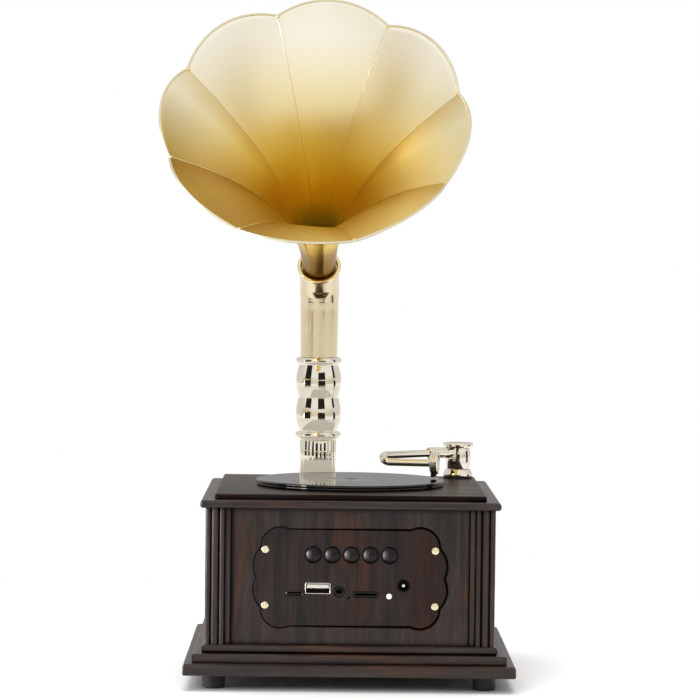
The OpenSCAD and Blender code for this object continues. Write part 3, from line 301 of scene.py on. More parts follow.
def button_with_painted_glint():
    """Black plastic with a painted highlight: a pale glow on the left side of its dome, for the window's
    light.
    """
    material, tree, principled = shader("button_black", Specular_IOR_Level=0.25, Emission_Strength=1.0)
    clouds = noise(tree, place_vector(tree), 160, 3.0)
    facing = axes(tree, add(tree, "ShaderNodeNewGeometry").outputs["Normal"])
    # Painted highlight: emission where the dome faces left, faded where it turns up or down.
    aside = ramp(tree, remap(tree, facing["X"], -0.7, 0.0),
                 [(0.0, 0), (0.22, (0.26, 0.225, 0.22, 1)), (0.45, (0.10, 0.088, 0.088, 1)), (0.90, 0)])
    upright = ramp(tree, remap(tree, facing["Z"], -0.5, 0.5), [(0.05, 0), (0.45, 1), (0.75, 1), (1.0, 0.1)])
    feed(tree, principled, Base_Color=clouded(tree, clouds, (15, 12, 13), (10, 8, 9)),
         Roughness=spread(tree, clouds, 0.2, 0.24), Emission_Color=times(tree, aside, upright))
    return material


def petal_rise_and_seam_shade(tree, vector):
    """How far a petal's pressed hollow rises to its seams, and how near its upper seam a point is, as a mask
    for painted shade.
    """
    centre = TO_MOUTH.translation * MM + MID
    sides = []
    for axis in ((1, 0, 0), (0, 1, 0)):
        direction = TO_MOUTH.to_3x3() @ Vector(axis)
        along = vector_calc(tree, "DOT_PRODUCT", vector, tuple(direction))
        sides.append(calc(tree, "SUBTRACT", along, centre.dot(direction)))
    x_side, y_side = sides
    per_radian = PETALS / FULL_TURN
    angle = calc(tree, "ARCTAN2", y_side, x_side)
    turns = calc(tree, "MULTIPLY_ADD", angle, per_radian, PETALS - FIRST_CUSP * per_radian)
    side = remap(tree, calc(tree, "FRACT", turns), 0.0, 1.0, -1.0, 1.0)
    reach = add(tree, "ShaderNodeCombineXYZ", {"X": x_side, "Y": y_side}).outputs["Vector"]
    radius = vector_calc(tree, "LENGTH", reach)
    rise = calc(tree, "MULTIPLY", calc(tree, "MULTIPLY", side, side), radius)
    uphill = calc(tree, "MULTIPLY", side, calc(tree, "DIVIDE", x_side, radius))
    lean = calc(tree, "MULTIPLY_ADD", calc(tree, "DIVIDE", y_side, radius), -0.35, uphill)
    painted_seam_shade = calc(tree, "MULTIPLY", remap(tree, lean, 0.3, 0.95), remap(tree, radius, 0.012, 0.04))
    return rise, painted_seam_shade


def horn_gold():
    """Satin gold with painted shade and light: deep in the throat and low on the petals, paler towards the
    upper rim.
    """
    material, tree, principled = shader("horn_gold", Metallic=1.0, Emission_Strength=1.0)
    vector = place_vector(tree)
    out = TO_MOUTH.to_3x3() @ Vector((0, 0, 1))
    start = (TO_MOUTH.translation * MM + MID).dot(out)
    along = vector_calc(tree, "DOT_PRODUCT", vector, tuple(out))
    # Painted shade and light: the colour deepens into the throat and on the lower petals, and pales towards
    # the upper rim.
    place = remap(tree, along, start, start + HORN_L * MM, 0.0, 0.55)
    height = axes(tree, vector)["Z"]
    level = remap(tree, height, 0.225, 0.355, 0.0, 0.45)
    clouds = noise(tree, vector, 30, 2.0, 0.5)
    shifted = calc(tree, "MULTIPLY_ADD", clouds, 0.03, calc(tree, "ADD", place, level))
    colour = ramp(tree, shifted, [(0.03, (0.30, 0.17, 0.03, 1)), (0.13, (0.34, 0.20, 0.035, 1)),
                                  (0.20, (0.72, 0.52, 0.08, 1)), (0.36, (0.72, 0.50, 0.08, 1)),
                                  (0.50, (0.78, 0.60, 0.17, 1)), (0.66, (0.88, 0.73, 0.36, 1)),
                                  (0.80, (0.93, 0.82, 0.52, 1)), (0.97, (0.98, 0.95, 0.84, 1))])
    # Painted shade: the horn's lower left is tinted a deeper gold.
    corner = calc(tree, "ADD", axes(tree, vector)["X"], height)
    deep = remap(tree, corner, MID.x + 0.222, MID.x + 0.180)
    colour = mix(tree, deep, colour, times(tree, colour, (0.57, 0.41, 0.10, 1)))
    rise, painted_seam_shade = petal_rise_and_seam_shade(tree, vector)
    petal_hollow = 0.035
    # Painted shade: each petal darkens to a deeper gold beside its upper seam.
    colour = mix(tree, painted_seam_shade, colour, times(tree, colour, (0.76, 0.62, 0.36, 1)))
    # Painted light: a faint gold glow of its own in the throat.
    glow = ramp(tree, place, [(0.08, 0), (0.12, (0.085, 0.043, 0.001, 1)), (0.20, (0.075, 0.038, 0.001, 1)),
                              (0.30, (0.03, 0.016, 0.0, 1)), (0.45, 0)])
    feed(tree, principled, Base_Color=colour, Emission_Color=glow,
         Roughness=spread(tree, clouds, 0.31, 0.33))
    bump(tree, principled, rise, petal_hollow)
    return material


def column_with_painted_underglow():
    """Champagne plate whose downward faces carry a painted reflection: a darker base with a pale glow, as if
    lit by the deck below.
    """
    material, tree, principled = shader("champagne_column", Metallic=1.0,
                                        Emission_Color=(0.47, 0.43, 0.35, 1))
    clouds = noise(tree, place_vector(tree), 45, 3.0, 0.55)
    plate = clouded(tree, clouds, (240, 234, 221), (234, 227, 211))
    facing = axes(tree, add(tree, "ShaderNodeNewGeometry").outputs["Normal"])
    # Painted reflection: faces turned downwards get a darker base and a pale glow.
    lower = remap(tree, facing["Z"], -0.02, -0.10)
    feed(tree, principled, Base_Color=mix(tree, lower, plate, (0.28, 0.26, 0.22, 1)),
         Roughness=spread(tree, clouds, 0.04, 0.06), Emission_Strength=lower)
    return material


WOOD_X = walnut("walnut_along_x", 0)
WOOD_Y = walnut("walnut_along_y", 1)
WOOD_Z = walnut("walnut_upright", 2)
WOOD_PLATE = walnut("walnut_plate", 2, 0.30, warm_side=True)
# The front board's walnut carries painted shadow beside the corner posts.
WOOD_FRONT = walnut("walnut_front", 2, 0.37, joints=True)
WOOD_DECK = walnut("walnut_deck", 0, 0.05)
GOLD = plated("satin_gold", (247, 229, 190), (244, 224, 182), 0.34, 2400, 0.06, 0.03)
HORN_GOLD = horn_gold()
GOLD_BRIGHT = plated("bright_gold", (247, 228, 178), (243, 222, 168), 0.14, 1500, 0.03, 0.03)
GOLD_PALE = plated("pale_gold", (240, 232, 206), (232, 222, 192), 0.2, 1500, 0.03, 0.03)
NICKEL = plated("champagne_nickel", (240, 234, 221), (234, 227, 211), 0.05, 1200, 0.01, 0.02)
NICKEL_SATIN = plated("champagne_satin", (224, 209, 176), (219, 203, 168), 0.16, 1200, 0.02, 0.02)
COLUMN_NICKEL = column_with_painted_underglow()
STEEL = plated("zinc_steel", (190, 190, 192), (165, 166, 170), 0.32, 2500, 0.15, 0.05)
BRASS = plated("polished_brass", (246, 236, 204), (238, 224, 184), 0.2, 1800, 0.05, 0.04)
SOCKET_TIN = plated("socket_tin", (238, 234, 226), (222, 217, 208), 0.18, 2500, 0.05, 0.04)
# A darker copy of the socket tin: painted shade for the charging socket's shell in its recess.
TIN_PAINTED_SHADE = plated("socket_tin_painted_shade", (96, 92, 90), (70, 67, 66), 0.3, 2500, 0.05, 0.04)
FERRITE = plated("ferrite", (88, 88, 92), (70, 70, 74), 0.55, 3000, 0.4, 0.08)
VINYL = moulded("record_black", (14, 13, 13), (9, 8, 8), 0.045, 0.0)
BUTTON = button_with_painted_glint()
BLACK = moulded("socket_black", (9, 8, 8), (5, 4, 4), 0.5, 0.3, Specular_IOR_Level=0.25)
RUBBER = moulded("foot_rubber", (32, 29, 28), (22, 20, 20), 0.62, 0.5)
WHITE = moulded("white_plastic", (236, 232, 222), (226, 222, 210), 0.4, 0.1)
GREEN = moulded("solder_mask", (22, 74, 46), (16, 60, 38), 0.3, 0.1)
WRAP = moulded("battery_wrap", (36, 70, 128), (30, 60, 112), 0.25, 0.05)
PAPER = moulded("cone_paper", (38, 36, 35), (28, 27, 27), 0.8, 0.6)
LAMP = moulded("lamp_white", (250, 250, 248), (240, 240, 238), 0.3, 0.02,
               Emission_Color=(1, 0.97, 0.95, 1), Emission_Strength=0.25)

# The record's slots with their materials; a CAD node that stays takes the first
SLOT_MATERIALS = {"dark_walnut": [WOOD_X, WOOD_Y, WOOD_Z, WOOD_PLATE, WOOD_FRONT, WOOD_DECK],
                  "gold_plate": [GOLD, HORN_GOLD, GOLD_BRIGHT, GOLD_PALE],
                  "champagne_nickel": [NICKEL, NICKEL_SATIN, COLUMN_NICKEL],
                  "socket_shell": [SOCKET_TIN, TIN_PAINTED_SHADE], "rubber": [RUBBER], "steel": [STEEL],
                  "ferrite": [FERRITE], "brass": [BRASS], "button_black": [BUTTON], "gloss_black": [VINYL],
                  "black_plastic": [BLACK], "white_plastic": [WHITE], "lamp_white": [LAMP],
                  "circuit_green": [GREEN], "battery_wrap": [WRAP], "cone_black": [PAPER]}


def dress_frame():
    """Gives every CAD node the first material of its record slot."""
    slots = {part["node"]: part["material_slot"] for part in frame["record"]["subparts"]}
    for node, obj in frame["nodes"].items():
        obj.data.materials.clear()
        obj.data.materials.append(SLOT_MATERIALS[slots[node]][0])


# Objects, from (verts, faces) in the cabinet's millimetres
def weld(mesh):
    """Joins doubled corners and turns the faces outwards."""
    bm = bmesh.new()
    bm.from_mesh(mesh)
    bmesh.ops.remove_doubles(bm, verts=bm.verts, dist=1e-7)
    bmesh.ops.recalc_face_normals(bm, faces=bm.faces)
    bm.to_mesh(mesh)
    bm.free()
    mesh.update()


def link(name, data):
    """A new object in the scene."""
    obj = bpy.data.objects.new(name, data)
    scene.collection.objects.link(obj)
    return obj


def make(name, part, materials=(), marks=()):
    """A welded object; marks are the places of its faces' materials in the list."""
    verts, faces = part
    mesh = bpy.data.meshes.new(name)
    mesh.from_pydata([Vector(v) * MM + MID for v in verts], [], faces)
    for material in materials:
        mesh.materials.append(material)
    for polygon, mark in zip(mesh.polygons, marks):
        polygon.material_index = mark
    weld(mesh)
    return link(name, mesh)


def cut(obj, parts):
    """Takes closed shapes out of an object, and applies it."""
    for part in parts:
        cutter = make("cutter", part)
        modifier = obj.modifiers.new("cut", "BOOLEAN")
        modifier.operation = "DIFFERENCE"
        modifier.solver = "EXACT"
        modifier.object = cutter
        bpy.context.view_layer.update()
        evaluated = obj.evaluated_get(bpy.context.evaluated_depsgraph_get())
        result = bpy.data.meshes.new_from_object(evaluated)
        obj.modifiers.clear()
        spent = [obj.data, cutter.data]
        obj.data = result
        bpy.data.objects.remove(cutter)
        for mesh in spent:
            bpy.data.meshes.remove(mesh)
    weld(obj.data)


def dress(obj, body, node=None, sharp=35):
    """Smooths an object, hangs it on a body and hides the CAD node that it stands for."""
    for polygon in obj.data.polygons:
        polygon.use_smooth = True
    obj.data.set_sharp_from_angle(angle=math.radians(sharp))
    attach(obj, body)
    if node:
        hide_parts(node)
    return obj


def piece(name, part, material, body, node=None, sharp=35, place=Matrix()):
    """A dressed mesh in its place."""
    return dress(make(name, moved(part, place), [material]), body, node, sharp)


def flatten(obj, axis):
    """Keeps the wide faces across an axis flat, so that their rounded edges don't shade them."""
    for polygon in obj.data.polygons:
        if abs(polygon.normal[axis]) > 0.9999:
            polygon.use_smooth = False


# Shapes
def joined(parts):
    """Several (verts, faces) as one."""
    verts, faces = [], []
    for part_verts, part_faces in parts:
        start = len(verts)
        verts += [Vector(v) for v in part_verts]
        faces += [[i + start for i in face] for face in part_faces]
    return verts, faces


def moved(part, matrix):
    verts, faces = part
    return [matrix @ Vector(v) for v in verts], faces


def ease(t):
    t = min(1.0, max(0.0, t))
    return t * t * (3 - 2 * t)


def circle(radius, count):
    angles = [FULL_TURN * k / count for k in range(count)]
    return [(radius * math.cos(a), radius * math.sin(a)) for a in angles]


def arc(x, y, radius, start, end, steps, rise=None):
    """Points on an arc between two angles in degrees; rise is its upright radius where that differs."""
    rise = radius if rise is None else rise
    angles = [math.radians(start + (end - start) * k / steps) for k in range(steps + 1)]
    return [(x + radius * math.cos(a), y + rise * math.sin(a)) for a in angles]


def quarter_round(edge, steps):
    """(inset, rise) points round an arris, from its foot up its side."""
    angles = [QUARTER * k / steps for k in range(steps + 1)]
    return [(edge * (1 - math.sin(a)), edge * (1 - math.cos(a))) for a in angles]


def fillet(points, radii, steps=4):
    """A polyline with its corners rounded, each by its own radius."""
    out = [Vector(points[0])]
    for before, point, after, radius in zip(points, points[1:], points[2:], radii[1:]):
        here = Vector(point)
        back, ahead = Vector(before) - here, Vector(after) - here
        longest = min(back.length, ahead.length) * 0.49
        back.normalize()
        ahead.normalize()
        angle = back.angle(ahead)
        if radius <= 0 or angle > math.radians(179):
            out.append(here)
            continue
        reach = min(radius / math.tan(angle / 2), longest)
        start, end = here + back * reach, here + ahead * reach
        for k in range(steps + 1):
            t = k / steps
            out.append((1 - t) ** 2 * start + 2 * t * (1 - t) * here + t ** 2 * end)
    return out + [Vector(points[-1])]


def between(low, high):
    """Faces between two closed rows of corners; a row of one corner makes a fan."""
    if len(low) == len(high) == 1:
        return []
    count = max(len(low), len(high))
    faces = []
    for k in range(count):
        n = (k + 1) % count
        if len(low) == 1:
            faces.append([low[0], high[n], high[k]])
        elif len(high) == 1:
            faces.append([low[k], low[n], high[0]])
        else:
            faces.append([low[k], low[n], high[n], high[k]])
    return faces


def lathe(profile, segments=96, closed=False):
    """A profile of (radius, height) turned about Z; closed joins its end to its start."""
    verts, rows = [], []
    for radius, height in profile:
        ring = circle(radius, segments) if radius >= 1e-6 else [(0, 0)]
        rows.append(range(len(verts), len(verts) + len(ring)))
        verts += [(x, y, height) for x, y in ring]
    if closed:
        rows.append(rows[0])
    return verts, [face for low, high in zip(rows, rows[1:]) for face in between(low, high)]


def turned(points, radii, steps=4, segments=96, closed=False):
    """A lathed shape whose profile has rounded corners."""
    return lathe(fillet(points, radii, steps), segments, closed)


def loft(loops, caps=True):
    """Loops of equally many points, joined; the first and last are filled when caps is true."""
    count = len(loops[0])
    rows = [range(i * count, (i + 1) * count) for i in range(len(loops))]
    faces = [face for low, high in zip(rows, rows[1:]) for face in between(low, high)]
    if caps:
        faces += [list(rows[0])[::-1], list(rows[-1])]
    return [Vector(p) for loop in loops for p in loop], faces


def hollow(loops):
    """Loops joined into a closed skin, the last to the first."""
    return loft(loops + [loops[0]], caps=False)


def rings(path, radius, sides, closed=False):
    """Rings of points round a path; radius is one value or one for each point."""
    path = [Vector(p) for p in path]
    count = len(path)
    radii = radius if isinstance(radius, list) else [radius] * count
    side, loops = None, []
    for i, (here, r) in enumerate(zip(path, radii)):
        ahead = path[(i + 1) % count] if closed else path[min(i + 1, count - 1)]
        behind = path[i - 1] if closed or i else here
        tangent = (ahead - behind).normalized()
        if side is None:
            up = Vector((0, 0, 1)) if abs(tangent.z) < 0.9 else Vector((1, 0, 0))
            side = tangent.cross(up).normalized()
        side = (side - side.dot(tangent) * tangent).normalized()
        other = tangent.cross(side)
        loops.append([here + side * x + other * y for x, y in circle(r, sides)])
    return loops


def sweep(path, radius, sides):
    return loft(rings(path, radius, sides))


def round_rect(half_x, half_y, radius, steps=5):
    """A rectangle with rounded corners, anticlockwise."""
    radius = min(radius, half_x, half_y)
    in_x, in_y = half_x - radius, half_y - radius
    return [point for sx, sy, start in ((1, 1, 0), (-1, 1, 90), (-1, -1, 180), (1, -1, 270))
            for point in arc(sx * in_x, sy * in_y, radius, start, start + 90, steps)]


def prism(outline, low, high):
    return loft([[(x, y, z) for x, y in outline] for z in (low, high)])


def block(low, high, edge=0.2, steps=2):
    """A box between two corners with softened edges."""
    low, high = Vector(low), Vector(high)
    centre, half = (low + high) / 2, (high - low) / 2
    edge = min(edge, *[h * 0.98 for h in half])
    round_off = quarter_round(edge, steps)
    profile = [(inset, low.z + z) for inset, z in round_off]
    profile += [(inset, high.z - z) for inset, z in round_off[::-1]]
    return loft([[(centre.x + x, centre.y + y, z) for x, y in
                  round_rect(half.x - inset, half.y - inset, max(edge - inset, edge * 0.05), steps)]
                 for inset, z in profile])


def fill(outlines, height):
    """A flat face inside the first outline and outside the others."""
    flat = [[Vector((x, y, 0)) for x, y in outline] for outline in outlines]
    verts = [(x, y, height) for outline in outlines for x, y in outline]
    return verts, [list(face) for face in tessellate_polygon(flat)]


def walls(outline, steps):
    """The walls of an outline along (growth, height) steps."""
    return loft([[(x, y, height) for x, y in outline(grow)] for grow, height in steps], caps=False)


def arris(grow, height, edge, steps, inwards=True):
    """(growth, height) steps that round an edge over at the given height."""
    sign = -1 if inwards else 1
    return [(grow + sign * rise, height - inset) for inset, rise in quarter_round(edge, steps)]


def placed(outline, x, y):
    """An outline function moved to a place."""
    return lambda grow: [(px + x, py + y) for px, py in outline(grow)]


def ring_outline(radius, steps=48):
    return lambda grow: circle(radius + grow, steps)


def rect_outline(half_x, half_y, radius):
    return lambda grow: round_rect(half_x + grow, half_y + grow, radius + grow)


def rod(radius, low, high, segments):
    return lathe([(0, low), (radius, low), (radius, high), (0, high)], segments)


# Plinth, feet and cabinet
FEET = ("foot_front_left", "foot_front_right", "foot_back_left", "foot_back_right")
SCREW_HOLE_R = 1.85


def over(node):
    return at(middle(node).x, middle(node).y, 0)


def to_room(x, y, z):
    """Lays a flat shape on the control side: x stays, y becomes height, z grows towards the room."""
    return at(x, y, z) @ turn(QUARTER, "X")


def arc_profile(thickness, low_edge, high_edge, steps):
    """(inset, height) round a board's edge, its lower and upper arrises rounded."""
    low = quarter_round(low_edge, steps)
    return low + [(rise, thickness - inset) for inset, rise in quarter_round(high_edge, steps)]


def board(node, material, corner, low_edge, high_edge, steps):
    """A board as large as its node, with rounded corners and edges."""
    low, high = span(node)
    half, least = (high.x - low.x) / 2, 0.12
    profile = arc_profile(high.z - low.z, low_edge, high_edge, steps)
    loops = [[(x, y, low.z + z) for x, y in
              round_rect(half - inset, half - inset, max(corner - inset, least))] for inset, z in profile]
    return make(node + "_wood", loft(loops), [material])


def make_base_board():
    """The bottom board with its grille slots and screw holes."""
    low, high = span("base_board")
    base = board("base_board", WOOD_X, 1.2, 0.8, 2.0, 5)
    pitch = 8
    reach = size("speaker_frame").x / 2 - pitch
    cutters = []
    for x in (-2 * pitch, -pitch, 0, pitch, 2 * pitch):
        slot = rect_outline(2, math.sqrt(reach ** 2 - x ** 2), 1.9)
        cutters.append(prism(placed(slot, x, middle("speaker_frame").y)(0), low.z - 1, high.z + 1))
    hole = rod(SCREW_HOLE_R, low.z - 1, high.z + 1, 32)
    cut(base, cutters + [moved(hole, over(foot)) for foot in FEET])
    dress(base, "cabinet", "base_board", 30)


def make_plinth():
    """Two courses of four mitred rails."""
    gap = 0.06
    inner = span("back_board")[0].y
    for node, low_edge, high_edge in (("plinth_step", 0.35, 0.8), ("plinth_bead", 1.3, 1.9)):
        low, high = span(node)
        profile = arc_profile(high.z - low.z, low_edge, high_edge, 5)
        section = [(high.x - inset, low.z + z) for inset, z in profile]
        section = [(inner, low.z)] + section + [(inner, high.z)]
        rail = loft([[(x, end * (x - gap), z) for x, z in section] for end in (-1, 1)])
        part = joined([moved(rail, turn(QUARTER * side)) for side in range(4)])
        marks = [side % 2 for side in range(4) for face in rail[1]]
        dress(make(node + "_rails", part, [WOOD_Y, WOOD_X], marks), "cabinet", node, 32)


def make_feet():
    for node in FEET:
        r, top = size(node).x / 2, span(node)[1].z
        foot = turned([(SCREW_HOLE_R, 3.4), (3.4, 3.4), (3.4, 0), (r - 0.5, 0), (r, top - 0.5), (r, top),
                       (SCREW_HOLE_R, top)], [0, 0.2, 0.3, 0.9, 0, 0.15, 0], segments=64, closed=True)
        piece(node + "_rubber", foot, RUBBER, "cabinet", node, place=over(node))


def post_outline(width):
    """The reeded section of a corner post, from its inner corner outwards."""
    corner, broad, narrow = 1.4, 2.2, 1.6
    core = width - corner
    broad_at = core - corner - broad
    narrow_at = broad_at - broad - narrow
    face = arc(0, width, narrow_at - narrow, -90, -12, 8)
    face += arc(narrow_at, width - narrow - 0.2, narrow, 160, 12, 12)
    face += arc(broad_at, width - broad, broad, 156, 24, 14)
    face += arc(core, core, corner, 168, 45, 8)
    return [(0, 0)] + face + [(y, x) for x, y in reversed(face[:-1])]


def make_posts():
    for row, sy in (("front", -1), ("back", 1)):
        for side, sx in (("left", -1), ("right", 1)):
            node = f"post_{row}_{side}"
            low, high = span(node)
            corner_x = low.x if sx > 0 else high.x
            corner_y = low.y if sy > 0 else high.y
            outline = [(corner_x + sx * x, corner_y + sy * y) for x, y in post_outline(high.x - low.x)]
            piece(node + "_reeds", prism(outline, low.z, high.z), WOOD_Z, "cabinet", node, 28)


def make_walls():
    for node in ("back_board", "left_board", "right_board"):
        piece(node + "_wood", block(*span(node), 0.25), WOOD_Z, "cabinet", node)


def plate_outline(grow):
    """The control plate's outline about its middle, found along rays from the middle."""
    half_w, half_h = size("control_plate").x / 2, size("control_plate").z / 2
    lobe, lobe_rise = 13.2, 6.2
    shoulder, shoulder_in, middle_drop = 10.4, 14.4, 1.1
    shoulder_x, shoulder_z = half_w - shoulder_in, half_h - shoulder
    bands = [(shoulder_x, half_h - middle_drop), (shoulder_x + shoulder, shoulder_z)]
    corners = ((shoulder_x, shoulder_z, shoulder), (half_w - lobe, lobe_rise, lobe))
    discs = [(sx * x, sy * y, r) for x, y, r in corners for sx in (-1, 1) for sy in (-1, 1)]
    points, count = [], 900
    for k in range(count):
        angle = FULL_TURN * (k + 0.5) / count
        dx, dy = math.cos(angle), math.sin(angle)
        reach = [min((x + grow) / max(abs(dx), 1e-9), (y + grow) / max(abs(dy), 1e-9)) for x, y in bands]
        for x, y, r in discs:
            along = x * dx + y * dy
            spare = (r + grow) ** 2 - (x * x + y * y - along * along)
            if along > 0 and spare > 0:
                reach.append(along + math.sqrt(spare))
        points.append((max(reach) * dx, max(reach) * dy))
    return points


def groove_outline(grow):
    """The rounded edge beside the plate: narrow on the left and wide on the right."""
    half_w = size("control_plate").x / 2
    out = []
    for (x0, y0), (x1, y1) in zip(plate_outline(0.0), plate_outline(grow)):
        share = min(1.0, max(0.25, 0.75 + 0.5 * x0 / half_w))
        out.append((x0 + (x1 - x0) * share, y0 + (y1 - y0) * share))
    return out


def make_front():
    """The front board with the plate's pocket and the two slots behind it."""
    low, high = span("front_board")
    centre, z, back = middle("front_board"), middle("control_plate").z, span("control_plate")[1].y
    face, rear = back - low.y, back - high.y
    outer = placed(rect_outline((high.x - low.x) / 2, (high.z - low.z) / 2, 0.2), 0, centre.z - z)
    slots = [placed(rect_outline(35, 5.75, 1.5), 0, middle("button_3").z - z),
             placed(rect_outline(37, 9, 1.5), 0, -7.8)]
    slot_ends = [slot(0) for slot in slots]
    gap, edge = 0.6, 0.6
    rim = [(gap, 0.0)] + arris(gap, face, edge, 5, inwards=False)
    parts = [fill([outer(-0.2), groove_outline(rim[-1][0])], face), walls(groove_outline, rim),
             fill([groove_outline(gap)] + slot_ends, 0.0), fill([outer(0)] + slot_ends, rear),
             walls(outer, [(0, rear)] + arris(0, face, 0.2, 2))]
    parts += [walls(slot, [(0, rear), (0, 0.0)]) for slot in slots]
    front = piece("front_board_wood", joined(parts), WOOD_FRONT, "cabinet", "front_board", 40,
                  to_room(0, back, z))
    flatten(front, 1)


def make_plate():
    """The let-in control plate with its holes, their arrises rounded."""
    low, high = span("control_plate")
    z, t = middle("control_plate").z, high.y - low.y
    gap, edge, flare, play = 0.3, 0.6, 0.3, 0.15
    button_r, power_r, lamp_r, pinhole_r = 4.4, 3.25, 1.65, 0.55

    def hole(node, outline):
        return placed(outline, middle(node).x, middle(node).z - z)

    def rect(node, radius):
        return hole(node, rect_outline(size(node).x / 2 + play, size(node).z / 2 + play, radius))
    holes = [hole(f"button_{i}", ring_outline(button_r)) for i in range(1, 6)]
    holes += [rect("usb_socket", 0.5), rect("charging_socket", 1.5), rect("card_slot", 0.4),
              hole("audio_socket", ring_outline(size("audio_socket").x / 2 + play)),
              hole("power_socket", ring_outline(power_r)), hole("status_lamp", ring_outline(lamp_r)),
              placed(ring_outline(pinhole_r, 24), -0.5, -10.4)]
    parts = [fill([groove_outline(-gap - edge)] + [one(flare) for one in holes], t),
             fill([groove_outline(-gap)] + [one(0) for one in holes], 0.0),
             walls(groove_outline, [(-gap, 0.0)] + arris(-gap, t, edge, 5))]
    parts += [walls(one, [(0, 0.0)] + arris(0, t, flare, 3, inwards=False)) for one in holes]
    plate = piece("control_plate_wood", joined(parts), WOOD_PLATE, "cabinet", "control_plate", 40,
                  to_room(0, high.y, z))
    flatten(plate, 1)


def make_top():
    dress(board("top_board", WOOD_X, 1.6, 1.5, 1.9, 6), "cabinet", "top_board", 30)
    deck = board("deck_board", WOOD_DECK, 1.2, 0.15, 0.9, 5)
    recess_r, recess_depth = 7.8, 2.3
    cut(deck, [rod(recess_r, DECK - recess_depth, DECK + 1, 64)])
    dress(deck, "cabinet", "deck_board", 30)


# Front fittings
def make_buttons():
    """Push buttons, each with a stem and a flange behind the plate."""
    plate_front = span("control_plate")[0].y
    plate, play, flange = 1.8, 0.3, 0.8
    r, dome_r, dome_rise, steps = 4.05, 3.75, 1.45, 16
    sphere = (dome_r ** 2 + dome_rise ** 2) / (2 * dome_rise)
    for node in [f"button_{i}" for i in range(1, 6)]:
        low, high = span(node)
        depth = high.y - low.y
        rest = high.y - plate_front - plate - play - flange
        profile = [(0, 0), (1.5, 0), (1.5, rest), (r + 0.7, rest), (r + 0.7, rest + flange),
                   (r, rest + flange), (r, depth - 1.8), (r - 0.12, depth - dome_rise - 0.12),
                   (dome_r + 0.08, depth - dome_rise)]
        for x in [dome_r * (1 - k / steps) for k in range(steps)]:
            profile.append((x, depth - sphere + math.sqrt(sphere ** 2 - x ** 2)))
        piece(node + "_cap", lathe(profile + [(0, depth)], 64), BUTTON, node, node, 40,
              to_room(middle(node).x, high.y, middle(node).z))


def make_plate_screws():
    """Round brass heads with a cross, on their shanks."""
    low, high = span("plate_screws")
    front = span("control_plate")[0].y
    r = 2.1
    dome = [(0, -7.9), (0.6, -7.9), (1, -7.2), (1, 0), (r - 0.12, 0), (r, 0.12), (r, 0.35)]
    dome += arc(0, 0.35, r, 10, 80, 7, rise=0.85) + [(0, 1.2)]
    bar = block((-1.25, -0.2, 0.55), (1.25, 0.2, 2), 0.05)
    places = [(x, z) for x in (low.x + r, high.x - r) for z in (low.z + r, high.z - r)]
    for i, (x, z) in enumerate(places):
        here = to_room(x, front, z) @ turn(math.radians((20, 62, 41, 75)[i]))
        screw = make(f"plate_screw_{i + 1}", moved(lathe(dome, 48), here), [BRASS])
        cut(screw, [moved(bar, here), moved(bar, here @ turn(QUARTER))])
        dress(screw, "cabinet", None if i else "plate_screws", 38)


def sleeve(outer, inner, low, high, lip=0.1):
    """A tube between two outlines of equally many points, its front edge rounded."""
    ridge = [((x + ox) / 2, (y + oy) / 2) for (x, y), (ox, oy) in zip(inner, outer)]
    rows = ((inner, low), (inner, high - lip), (ridge, high), (outer, high - lip), (outer, low))
    return hollow([[(x, y, z) for x, y in row] for row, z in rows])


def socket(node):
    """A socket's place, its depth and half its width and height."""
    low, high = span(node)
    centre = (low + high) / 2
    return to_room(centre.x, high.y, centre.z), high.y - low.y, (high.x - low.x) / 2, (high.z - low.z) / 2


def make_usb_socket():
    """A flat folded shell, a pale tongue and four contacts."""
    here, depth, x, y = socket("usb_socket")
    shell = sleeve(round_rect(x, y, 0.55), round_rect(x - 0.35, y - 0.35, 0.3), 0.2, depth)
    back = prism(round_rect(x - 0.3, y - 0.3, 0.3), 0, 3.5)
    tongue = block((-5.8, 0.1, 3.0), (5.8, 1.9, depth - 0.9), 0.15)
    contacts = [block((x - 0.5, -0.12, 4.5), (x + 0.5, 0.12, depth - 1.6), 0.05)
                for x in (-3.5, -1, 1, 3.5)]
    # The black back is the socket's plastic, and also painted shade deep inside the shell.
    piece("usb_socket_back", back, BLACK, "cabinet", place=here)
    piece("usb_socket_shell", shell, SOCKET_TIN, "cabinet", "usb_socket", place=here)
    piece("usb_socket_tongue", tongue, WHITE, "cabinet", place=here)
    piece("usb_socket_contacts", joined(contacts), BRASS, "cabinet", place=here)


def make_charging_socket():
    """A small oval shell with its tongue."""
    here, depth, x, y = socket("charging_socket")
    shell = sleeve(round_rect(x, y, 1.4, 7), round_rect(x - 0.35, y - 0.35, 1.15, 7), 0.2, depth)
    back = prism(round_rect(x - 0.3, y - 0.3, 1.1), 0, depth - 6.6)
    tongue = block((-3.3, -0.35, depth - 7), (3.3, 0.35, depth - 1), 0.15)
    # The charging socket's shell takes the tin with painted shade.
    piece("charging_socket_shell", joined([shell, back]), TIN_PAINTED_SHADE, "cabinet", "charging_socket", place=here)
    piece("charging_socket_tongue", tongue, BLACK, "cabinet", place=here)


def make_audio_socket():
    """A round barrel with a contact ring inside."""
    here, depth, r = socket("audio_socket")[:3]
    barrel = turned([(0, 0), (r, 0), (r, depth), (1.8, depth), (1.8, 1), (0, 1)],
                    [0, 0.2, 0.25, 0.3, 0.1, 0], segments=64)
    ring = lathe([(1.79, depth - 5), (1.79, depth - 1.2), (1.62, depth - 1.4), (1.62, depth - 5)], 48, True)
    piece("audio_socket_barrel", barrel, BLACK, "cabinet", "audio_socket", 40, here)
    piece("audio_socket_contact", ring, SOCKET_TIN, "cabinet", place=here)


def make_card_slot():
    here, depth, x, y = socket("card_slot")
    shell = sleeve(round_rect(x, y, 0.35), round_rect(5.6, 0.5, 0.12), 0.4, depth, 0.15)
    back = prism(round_rect(x - 0.1, y - 0.1, 0.3), 0, 2)
    piece("card_slot_body", joined([shell, back]), BLACK, "cabinet", "card_slot", place=here)


